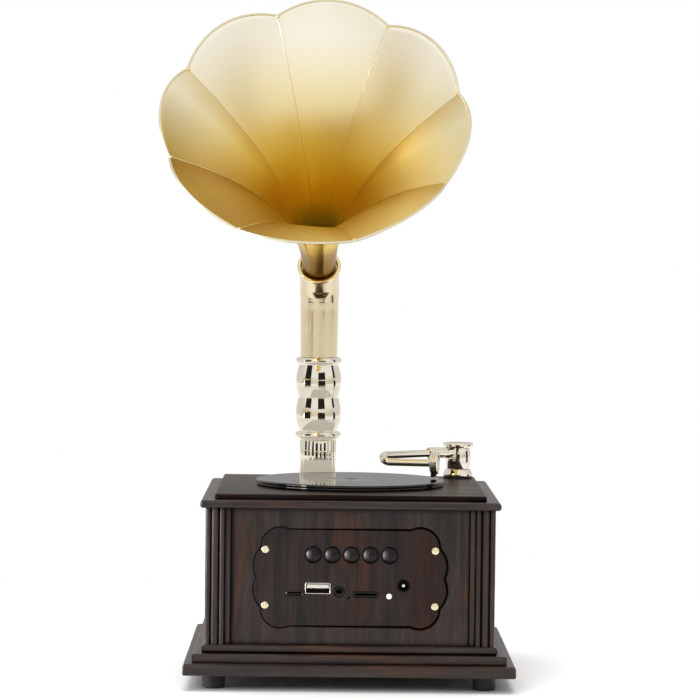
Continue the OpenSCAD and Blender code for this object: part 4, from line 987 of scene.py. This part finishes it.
def make_power_socket():
    """A square housing, the round barrel in it and its centre pin."""
    here, depth = socket("power_socket")[:2]
    housing = block((-4.2, -4.2, 0), (4.2, 4.2, depth - 2.2), 0.3)
    body = make("power_socket_body", moved(housing, here), [BLACK])
    cut(body, [moved(rod(2.9, depth - 8.9, depth, 48), here)])
    dress(body, "cabinet", "power_socket")
    barrel = turned([(0, depth - 9), (2.75, depth - 9), (2.75, depth), (3.1, depth), (3.1, 2), (0, 2)],
                    [0, 0.1, 0.12, 0.15, 0, 0], 3, 64)
    piece("power_socket_barrel", barrel, BLACK, "cabinet", None, 40, here)
    pin = [(0, depth - 9.5), (1, depth - 9.5), (1, depth - 1.3)]
    pin += arc(0, depth - 1.3, 1, 15, 75, 4, rise=0.5) + [(0, depth - 0.8)]
    piece("power_socket_pin", lathe(pin, 32), SOCKET_TIN, "cabinet", None, 40, here)


def make_status_lamp():
    here, depth = socket("status_lamp")[:2]
    lens = [(0, 0), (1.5, 0), (1.5, depth - 0.9)]
    lens += arc(0, depth - 0.9, 1.5, 15, 75, 4, rise=0.88) + [(0, depth - 0.02)]
    piece("status_lamp_lens", lathe(lens, 40), LAMP, "cabinet", "status_lamp", 50, here)


# Turntable
SPINDLE_HOLE_R = 2.05


def make_record():
    """The record with a raised rim, its sound bands and its label."""
    low, high = span("record")
    r = (high.x - low.x) / 2
    bands, first, last = 8, 18.0, r - 2.5
    steps = bands * 14
    flat = high.z - 0.16
    profile = [(SPINDLE_HOLE_R, low.z), (r - 0.4, low.z), (r - 0.1, low.z + 0.12), (r, low.z + 0.4),
               (r, high.z - 0.5), (r - 0.12, high.z - 0.18), (r - 0.5, high.z), (r - 1.5, high.z),
               (r - 2.0, high.z - 0.1)]
    for t in [k / steps for k in range(steps + 1)]:
        profile.append((last + (first - last) * t, flat - 0.005 * (1 - math.cos(FULL_TURN * bands * t))))
    profile += [(16.5, flat), (16, high.z - 0.112), (15.6, flat), (2.4, flat), (SPINDLE_HOLE_R, flat - 0.2)]
    piece("record_disc", lathe(profile, 160, True), VINYL, "turntable", "record", 50)


def make_platter():
    low, high = span("platter")
    r = (high.x - low.x) / 2
    disc = turned([(SPINDLE_HOLE_R, low.z), (r, low.z), (r, high.z), (SPINDLE_HOLE_R, high.z)],
                  [0, 0.4, 0.4, 0], segments=128, closed=True)
    piece("platter_disc", disc, VINYL, "turntable", "platter", 50)


def make_spindle():
    """The shaft with its hub flange, its tip flush with the record."""
    low, top, hub = span("spindle")[0].z, span("record")[1].z - 0.45, span("platter")[0].z
    profile = [(0, low), (1.9, low), (2, low + 0.2), (2, hub - 2), (7.3, hub - 2), (7.5, hub - 1.8),
               (7.5, hub - 0.2), (7.4, hub), (2, hub), (2, top)] + arc(0, top, 2, 20, 80, 3, rise=0.4)
    piece("spindle_shaft", lathe(profile + [(0, top + 0.4)], 48), VINYL, "turntable", "spindle", 40)


# Column
COLUMN_BORE = 5.1


def make_column_ring():
    low, high = span("column_ring")
    ring = turned([(COLUMN_BORE, low.z), (10.7, low.z), (10.7, low.z + 1.2), (10.2, low.z + 1.3),
                   (10.2, high.z), (COLUMN_BORE, high.z)], [0, 0.1, 0.3, 0, 0.15, 0], 3, closed=True)
    piece("column_ring_plate", ring, COLUMN_NICKEL, "cabinet", "column_ring", 40, at(*COLUMN))


def make_barrel():
    """The lower column: round reeds side by side, slightly drawn in at both ends."""
    low, high = span("reeded_barrel")
    reeds, outer, reed, steps, edge = 18, 10.2, 2.9, 10, 0.35
    half = math.degrees(math.asin(outer * math.sin(math.pi / reeds) * 0.955 / reed))

    def ring(z, shrink):
        one = arc(outer - reed, 0, reed - shrink, -half, half, steps - 1, rise=reed - shrink * 0.3)
        return [turn(FULL_TURN * i / reeds) @ Vector((x, y, z)) for i in range(reeds) for x, y in one]

    def bore(z):
        return [(x, y, z) for x, y in circle(COLUMN_BORE, reeds * steps)]
    loops = [bore(low.z), ring(low.z, edge), ring(low.z + edge, 0), ring(high.z - edge, 0),
             ring(high.z, edge), bore(high.z)]
    piece("reeded_barrel_metal", hollow(loops), COLUMN_NICKEL, "cabinet", "reeded_barrel", 50, at(*COLUMN))


def make_baluster():
    """Two long bulges between two beads, and the spigot that the elbow turns on."""
    low, high = span("turned_baluster")
    big, neck, waist = 12.85, 10.65, 11.25
    bead, low_h, high_h, spigot = 4.3, 19.2, 18.5, 8.0
    low_z = low.z + bead
    waist_z = low_z + low_h
    high_z = waist_z + high_h

    def bead_ring(z):
        return arc(big - bead / 2, z + bead / 2, bead / 2, -80, 80, 16)

    def bulge(r_start, r_end, foot, height, split=0.42, steps=36):
        out = []
        for t in [k / steps for k in range(1, steps + 1)]:
            r, share = (r_start, t / split) if t <= split else (r_end, (1 - t) / (1 - split))
            out.append((r + (big - r) * math.sin(QUARTER * share), foot + height * t))
        return out
    profile = [(COLUMN_BORE, low.z), (neck, low.z)] + bead_ring(low.z) + [(neck, low_z), (neck, low_z + 0.2)]
    profile += bulge(neck, waist, low_z + 0.2, low_h - 0.2) + bulge(waist, 11.0, waist_z, high_h - 0.1)
    profile += bead_ring(high_z) + [(spigot, high_z + bead), (spigot, high.z - 0.4), (spigot - 0.4, high.z),
                                    (COLUMN_BORE, high.z)]
    piece("turned_baluster_metal", lathe(profile, 128, True), COLUMN_NICKEL, "cabinet", "turned_baluster",
          42, at(*COLUMN))


# Elbow, mouth ring and horn
def elbow_path():
    """Centre line of the elbow from its foot to its mouth."""
    bend_at = ELBOW_LOW + STRAIGHT
    points = [Vector((0, 0, ELBOW_LOW + STRAIGHT * k / 6)) for k in range(6)]
    points += [Vector((0, y, z)) for y, z in arc(-BEND_R, bend_at, BEND_R, 0, math.degrees(BEND), 28)]
    ahead = Vector((0, -math.cos(HORN_TILT), math.sin(HORN_TILT)))
    points += [points[-1] + ahead * COLLAR * k / 3 for k in (1, 2, 3)]
    return [TO_HORN @ point for point in points]


def make_elbow():
    path = elbow_path()
    count, sides = len(path), 96
    outer = rings(path, [ELBOW_R - 0.35 + 0.5 * min(1, i / 12) for i in range(count)], sides)
    inner = rings(path, [9.4 if i > count - 4 else 8.6 for i in range(count)], sides)
    piece("elbow_tube", hollow(outer + inner[::-1]), NICKEL_SATIN, "horn", "elbow", 50)


def horn_point(place, u, grow, seam=0.0):
    """A point of the horn's sheet in its own frame; place counts petals round the rim."""
    across = 2 * (place % 1.0) - 1
    lift = REACH * (1 - across ** 2)
    z = u * PLUG if u < 0 else u * (HORN_L + lift * ease((u - 0.3) / 0.7))
    v = max(z, 0.0) / HORN_L
    r = NECK_R - SHEET + (CUSP_R - NECK_R) * ((1 - NECK_OPEN) * v ** FLARE + NECK_OPEN * v)
    half = math.pi / PETALS
    flat = math.cos(half) / math.cos(across * half)
    r = r * (1 - FLATNESS * ease((u - 0.2) / 0.4) * (1 - flat)) + grow
    off, seam_width = (1 - abs(across)) * half * r, 0.5
    r -= seam * math.exp(-(off / seam_width) ** 2) * ease((u - 0.12) / 0.2)
    angle = FIRST_CUSP + place * FULL_TURN / PETALS
    return Vector((r * math.cos(angle), r * math.sin(angle), z))


def petal_places():
    """Places round the rim, closer together beside the seams."""
    inner = [0.0, 0.004, 0.009, 0.016, 0.026, 0.04, 0.06, 0.09, 0.13, 0.18, 0.24, 0.31, 0.38, 0.44, 0.5]
    across = inner + [1 - p for p in inner[-2:0:-1]]
    return [petal + p for petal in range(PETALS) for p in across]


def make_horn():
    places = petal_places()
    rows = [-1.0, -0.5, 0.0] + [(i / 72) ** 0.92 for i in range(1, 73)]
    inner = [[horn_point(p, u, 0.0, 0.12) for p in places] for u in rows]
    outer = [[horn_point(p, u, SHEET, -0.35) for p in places] for u in rows]
    piece("petal_horn", hollow(inner + outer[::-1]), HORN_GOLD, "horn", "horn", 60, TO_MOUTH)
    steps = 60
    thickness = [0.08 + 0.24 * ease(k / 40) for k in range(steps + 1)]
    lines = [[horn_point(petal, 0.13 + 0.865 * k / steps, -0.12) for k in range(steps + 1)]
             for petal in range(PETALS)]
    seams = joined([sweep(line, thickness, 8) for line in lines])
    # The seams take the paler gold as a painted highlight, for the light they catch.
    piece("horn_seams", seams, GOLD_PALE, "horn", None, 60, TO_MOUTH)


def make_rim():
    """The wire rolled into the rim, with a small bead at each cusp."""
    wire = rings([horn_point(place, 1.0, SHEET / 2) for place in petal_places()], 0.68, 12, closed=True)
    piece("rim_wire_roll", hollow(wire), GOLD_PALE, "horn", "rim_wire", 60, TO_MOUTH)
    ball = lathe(arc(0, 0, 1.15, -90, 90, 12), 24)
    beads = []
    for petal in range(PETALS):
        cusp = horn_point(petal, 1.0, SHEET / 2)
        inward = Vector((-cusp.x, -cusp.y, 0)).normalized()
        beads.append(moved(ball, at(*(cusp + inward * 0.5))))
    piece("rim_beads", joined(beads), GOLD_BRIGHT, "horn", None, 60, TO_MOUTH)


def make_mouth_ring():
    inner, outer, height = NECK_R + 0.7, 12.2, 2.5
    fat = height / 2
    profile = arc(outer - fat, fat, fat, -90, 90, 15)
    profile += [(inner + 0.3, height), (inner, height - 0.3), (inner, 0.2), (inner + 0.2, 0)]
    piece("mouth_ring_bead", lathe(profile, 96, True), GOLD_BRIGHT, "horn", "mouth_ring", 50, TO_MOUTH)


# Tone arm
def make_arm_base():
    """The stepped foot and its pin, a gasket under it and a small screw in its sloping face."""
    foot = turned([(0, 0), (7.7, 0), (7.7, 1.3), (8.4, 1.3), (8.4, 2.2), (7.0, 5.0), (3, 5.0), (3, 12.7),
                   (0, 12.7)], [0, 0.1, 0.1, 0.15, 0.35, 0.4, 0, 0.3, 0])
    piece("arm_base_foot", foot, NICKEL, "cabinet", "arm_base", 40, TO_ARM)
    gasket = turned([(7.75, 0.05), (8.0, 0.05), (8.0, 1.15), (7.75, 1.15)], [0, 0.1, 0.1, 0], 3, closed=True)
    piece("arm_base_gasket", gasket, RUBBER, "cabinet", None, 40, TO_ARM)
    head = lathe([(0, -0.5), (0.75, -0.5), (0.75, 0.12), (0.6, 0.3), (0.25, 0.3), (0.22, 0.05),
                  (0, 0.05)], 32)
    slope = math.atan2(1.4, 2.8)
    tilt = turn(math.radians(248) - ARM_TURN) @ at(7.72, 0, 3.6) @ turn(QUARTER - slope, "Y")
    piece("arm_base_screw", head, BLACK, "cabinet", None, 40, TO_ARM @ tilt)


def make_arm_head():
    """The turning head with its cap, and the arm tube that leaves its side."""
    low, top, bore_top, bore_r = 5.3, 20.3, 13.0, 3.05
    cap = ARM_H + 2.4
    profile = [(0, bore_top), (bore_r, bore_top), (bore_r, low), (5.8, low), (6.1, low + 0.12)]
    for t in [k / 24 for k in range(25)]:
        r = 6.1 + 1.2 * math.sin(math.pi * (0.08 + 0.84 * t)) ** 0.8
        profile.append((r, low + 0.25 + (cap - low - 0.25) * t))
    profile += fillet([(6.6, cap), (8.3, cap + 0.4), (8.7, cap + 1.1), (8.7, top - 1.2), (8.0, top - 0.3),
                       (4.5, top), (0, top)], [0, 0.3, 0.4, 0.6, 0.6, 2.0, 0], 5)
    tube = lathe([(0, 3.0), (4.0, 3.0), (4.2, 5.0), (3.9, 6.0), (3.3, 7.0), (3.0, 8.2), (2.95, 9.5),
                  (3.35, 20.6), (3.25, 21.5), (2.8, 22.0), (2.2, 22.0), (2.2, 13.0), (0, 13.0)], 64)
    part = joined([lathe(profile, 96), moved(tube, at(0, 0, ARM_H) @ turn(QUARTER, "Y"))])
    piece("arm_head_metal", part, NICKEL, "tone_arm", "arm_head", 42, TO_ARM)


def goose_path():
    """Centre line of the bent tube, from inside the arm tube to the sound box."""
    path = [Vector((GOOSE_START + (GOOSE_TURN_AT - GOOSE_START) * k / 12, 0, 0)) for k in range(12)]
    for t in [k / 36 for k in range(37)]:
        path.append(Vector((GOOSE_TURN_AT + GOOSE_R * math.sin(GOOSE_TURN * t),
                            GOOSE_R * (1 - math.cos(GOOSE_TURN * t)), -GOOSE_DROP * ease(t))))
    back = Vector((math.cos(GOOSE_TURN), math.sin(GOOSE_TURN), 0))
    return path + [path[-1] + back * GOOSE_BACK * k / 8 for k in range(1, 9)]


def make_gooseneck():
    piece("gooseneck_tube", sweep(goose_path(), 2.1, 32), NICKEL, "gooseneck", "gooseneck", 60, TO_GOOSE)


def box_matrix():
    """The sound box's frame: its axis runs along the gooseneck's last stretch."""
    return TO_GOOSE @ at(*goose_path()[-1]) @ turn(GOOSE_TURN) @ turn(QUARTER, "Y")


def make_sound_box():
    """A ridged metal drum, its open side closed by a plain dished plate."""
    r, t = SOUND_BOX_R, 4.4
    profile = [(0, -0.6), (2.9, -0.6), (3.2, 0.0), (r * 0.74, 0.0), (r * 0.8, 0.35), (r, 0.8), (r, 1.5),
               (r * 0.89, 1.75), (r * 0.89, 2.05), (r * 0.97, 2.25), (r * 0.97, 2.8),
               (r * CHUCK_SHARE, 3.05), (r * CHUCK_SHARE, 3.3), (r * 0.93, 3.5), (r * 0.9, t - 0.2),
               (r * 0.8, t), (r * 0.62, t), (r * 0.58, t - 0.5), (0, t - 0.4)]
    radii = [0, 0.2, 0.3, 0.2, 0.2, 0.3, 0.3, 0.12, 0.12, 0.2, 0.2, 0.12, 0.12, 0.15, 0.25, 0.25, 0.25,
             0.3, 0]
    piece("sound_box_metal", turned(profile, radii), NICKEL, "gooseneck", "sound_box", 40, box_matrix())


def make_needle():
    """The chuck on the sound box with its thumbscrew, and the needle in it."""
    neck = SOUND_BOX_R * CHUCK_SHARE
    drop = ARM_H + DECK - GOOSE_DROP - span("needle")[0].z
    down = box_matrix() @ turn(QUARTER, "Y") @ at(-1.76, 0, 0)
    chuck = block((-1.5, -1.2, neck), (1.5, 1.2, neck + 1.5), 0.3, 3)
    piece("needle_chuck", chuck, BLACK, "gooseneck", "needle", 40, down)
    screw = lathe([(0, -0.4), (0.7, -0.4), (0.7, 1.2), (1.05, 1.3), (1.05, 1.9), (0.9, 2.0), (0, 2.0)], 32)
    piece("needle_thumbscrew", screw, BLACK, "gooseneck", None, 40, down @ to_room(0, -1.2, neck + 0.8))
    shank = lathe([(0, neck + 1), (0.45, neck + 1), (0.45, drop - 0.6), (0.12, drop - 0.02), (0, drop)], 24)
    piece("needle_shank", shank, STEEL, "gooseneck", None, 60, down)


# Studio
BLACK_CARD = (0.02, 0.018, 0.015, 1)
WHITE_SKY = (0.95, 0.94, 0.92, 1)
BACK_SKY = (0.75, 0.74, 0.72, 1)
BACKDROP = (0.42, 0.41, 0.40, 1)
BACK_SIDES = (0.74, 0.73, 0.70, 1)
BEIGE = (0.80, 0.73, 0.58, 1)
LEFT_ROOM = (0.55, 0.42, 0.20, 1)
RIGHT_ROOM = (0.66, 0.61, 0.52, 1)
AMBIENT = (0.40, 0.39, 0.38, 1)
FAR = 9.0


def blend(tree, factor, first, second):
    return add(tree, "ShaderNodeMixShader", {0: factor, 1: first, 2: second}).outputs["Shader"]


def emission(tree, colour, strength):
    return add(tree, "ShaderNodeEmission", {"Color": colour, "Strength": strength}).outputs["Emission"]


def make_camera():
    """The photo's camera: its place in millimetres, its turns in degrees and its focal length in pixels."""
    camera = bpy.data.cameras.new("camera")
    obj = link("camera", camera)
    yaw, pitch, roll = math.radians(0.4338), math.radians(1.8756), math.radians(0.6669)
    place = Vector((-13.50, -1665.30, 230.3)) * MM + MID
    obj.matrix_world = at(*place) @ turn(-yaw) @ turn(QUARTER - pitch, "X") @ turn(roll)
    picture, focal = 700.0, 3045.57
    camera.sensor_width = 36.0
    camera.lens = focal / picture * camera.sensor_width
    camera.clip_end = 50.0
    scene.camera = obj


def area(name, place, width, height, power):
    """A soft light aimed at the object, which mirrors don't see."""
    data = bpy.data.lights.new(name, "AREA")
    data.shape = "RECTANGLE"
    data.size, data.size_y = width, height
    data.energy = power
    obj = link(name, data)
    obj.location = MID + Vector(place)
    aim = Vector((0, 0, 0.18)) - Vector(place)
    obj.rotation_euler = aim.to_track_quat("-Z", "Y").to_euler()
    obj.visible_glossy = False


def card(name, azimuth, half_angle, low, high, distance, shade=BLACK_CARD, strength=1.0, around=MID,
         beyond=0.0, within=FAR):
    """A curved studio card that mirrors see, and only along rays of the given lengths."""
    steps = max(1, round(half_angle))
    verts = []
    for k in range(steps + 1):
        a = math.radians(azimuth + half_angle * (2 * k / steps - 1))
        out = Vector((math.sin(a), -math.cos(a), 0)) * distance
        verts += [around + out + Vector((0, 0, z)) for z in (low, high)]
    mesh = bpy.data.meshes.new(name)
    mesh.from_pydata(verts, [], [[2 * k, 2 * k + 2, 2 * k + 3, 2 * k + 1] for k in range(steps)])
    material = bpy.data.materials.new(name)
    tree = empty_tree(material)
    clear = add(tree, "ShaderNodeBsdfTransparent").outputs["BSDF"]
    ray = add(tree, "ShaderNodeLightPath").outputs["Ray Length"]
    longer, shorter = calc(tree, "GREATER_THAN", ray, beyond), calc(tree, "LESS_THAN", ray, within)
    seen = calc(tree, "MULTIPLY", longer, shorter)
    either = blend(tree, seen, clear, emission(tree, shade, strength))
    add(tree, "ShaderNodeOutputMaterial", {"Surface": either})
    mesh.materials.append(material)
    obj = link(name, mesh)
    obj.visible_camera = False
    obj.visible_diffuse = False
    obj.visible_shadow = False
    obj.visible_transmission = False


def make_world():
    """A studio that mirrors see, a dimmer one that lights, and plain white behind the object."""
    world = bpy.data.worlds.new("studio")
    scene.world = world
    tree = empty_tree(world)
    rays = add(tree, "ShaderNodeLightPath").outputs
    towards = axes(tree, add(tree, "ShaderNodeTexCoord").outputs["Generated"])

    def background(colour):
        return add(tree, "ShaderNodeBackground", {"Color": colour, "Strength": 1.0}).outputs["Background"]
    level = ramp(tree, remap(tree, towards["X"], -1, 1),
                 [(0.05, LEFT_ROOM), (0.30, BEIGE), (0.70, BEIGE), (0.95, RIGHT_ROOM)])
    above = ramp(tree, remap(tree, towards["Z"], -0.5, 0.5), [(0.60, 0), (0.78, 1)])
    straight = remap(tree, towards["Y"], 0.90, 0.97)
    behind = mix(tree, above, mix(tree, straight, BACK_SIDES, BACKDROP), BACK_SKY)
    facing = ramp(tree, remap(tree, towards["Y"], -1, 1), [(0.0, 1), (0.35, 1), (0.58, 0)])
    studio = background(mix(tree, facing, behind, mix(tree, above, level, WHITE_SKY)))
    lit = blend(tree, rays["Is Diffuse Ray"], studio, background(AMBIENT))
    seen = calc(tree, "MAXIMUM", rays["Is Camera Ray"], rays["Is Transmission Ray"])
    add(tree, "ShaderNodeOutputWorld", {"Surface": blend(tree, seen, lit, background((1, 1, 1, 1)))})


def make_floor():
    """A pale floor that keeps the object's shadow and runs out into the white backdrop."""
    reach = 8.0
    mesh = bpy.data.meshes.new("floor")
    mesh.from_pydata([(-reach, -reach, 0), (reach, -reach, 0), (reach, reach, 0), (-reach, reach, 0)], [],
                     [[0, 1, 2, 3]])
    material = bpy.data.materials.new("floor_paper")
    tree = empty_tree(material)
    vector = place_vector(tree)
    tint = ramp(tree, noise(tree, vector, 3.0), [(0.3, 0.86), (0.7, 0.88)])
    paper = add(tree, "ShaderNodeBsdfDiffuse", {"Color": tint}).outputs["BSDF"]
    place = axes(tree, vector)
    aside = [calc(tree, "ABSOLUTE", calc(tree, "SUBTRACT", place[axis], centre))
             for axis, centre in (("X", MID.x), ("Y", MID.y))]
    clear = remap(tree, calc(tree, "MAXIMUM", *aside), 0.078, 0.095, 0.0, 0.14)
    glow = emission(tree, (1, 1, 1, 1), clear)
    lit = add(tree, "ShaderNodeAddShader", {0: paper, 1: glow}).outputs["Shader"]
    away = vector_calc(tree, "DISTANCE", vector, tuple(MID + Vector((0, 0.05, 0))))
    far = remap(tree, away, 0.16, 0.42)
    out = blend(tree, far, lit, emission(tree, (1, 1, 1, 1), 1.0))
    rays = add(tree, "ShaderNodeLightPath").outputs
    plain = calc(tree, "MAXIMUM", rays["Is Diffuse Ray"], rays["Is Shadow Ray"])
    add(tree, "ShaderNodeOutputMaterial", {"Surface": blend(tree, plain, out, paper)})
    mesh.materials.append(material)
    link("floor", mesh)


def make_flags():
    """Dark cards round the column, for the dark bars in its polished metal."""
    column = MID + COLUMN * MM
    for side, azimuth, half_angle, tube_ray, foot in (("left", -56, 17, 0.2106, 0.106),
                                                      ("centre", 16, 18, 0.2092, 0.08),
                                                      ("right", 87, 7, 0.2117, 0.08)):
        flags = [("low_" + side, foot, 0.150, 0.22, 0.115, FAR),
                 ("mid_" + side, 0.148, 0.190, 0.22, 0.2, tube_ray - 0.0002),
                 ("steep_" + side, 0.150, 0.192, 0.222, 0.2165, FAR),
                 ("high_" + side, 0.190, 0.25, 0.22, tube_ray + 0.0003, FAR)]
        if side != "centre":
            flags += [(f"{side}_{round(1000 * low)}", low, low + 0.03, 0.22, ray, FAR)
                      for low, ray in ((0.25, 0.226), (0.28, 0.238), (0.31, 0.252), (0.34, 0.27))]
        for name, low, high, distance, beyond, within in flags:
            card("flag_" + name, azimuth, half_angle, low, high, distance, around=column, beyond=beyond,
                 within=within)


def make_studio():
    make_camera()
    make_world()
    make_floor()
    scene.view_settings.view_transform = "Standard"
    area("softbox_top", (-0.1, 0.0, 1.5), 1.2, 1.2, 20)
    area("softbox_front", (-0.9, -1.7, 1.1), 1.0, 0.9, 16)
    area("softbox_left", (-1.6, -0.5, 0.6), 0.5, 1.2, 7)
    area("softbox_right", (1.5, 0.3, 0.9), 0.5, 1.2, 3)
    make_flags()
    card("window_left", -68, 14, 0.0, 0.5, 0.8, (1, 0.98, 0.95, 1), 16.0, within=0.785)


dress_frame()
make_base_board()
make_plinth()
make_feet()
make_posts()
make_walls()
make_front()
make_plate()
make_top()
make_buttons()
make_plate_screws()
make_usb_socket()
make_charging_socket()
make_audio_socket()
make_card_slot()
make_power_socket()
make_status_lamp()
make_record()
make_platter()
make_spindle()
make_column_ring()
make_barrel()
make_baluster()
make_elbow()
make_horn()
make_rim()
make_mouth_ring()
make_arm_base()
make_arm_head()
make_gooseneck()
make_sound_box()
make_needle()
make_studio()
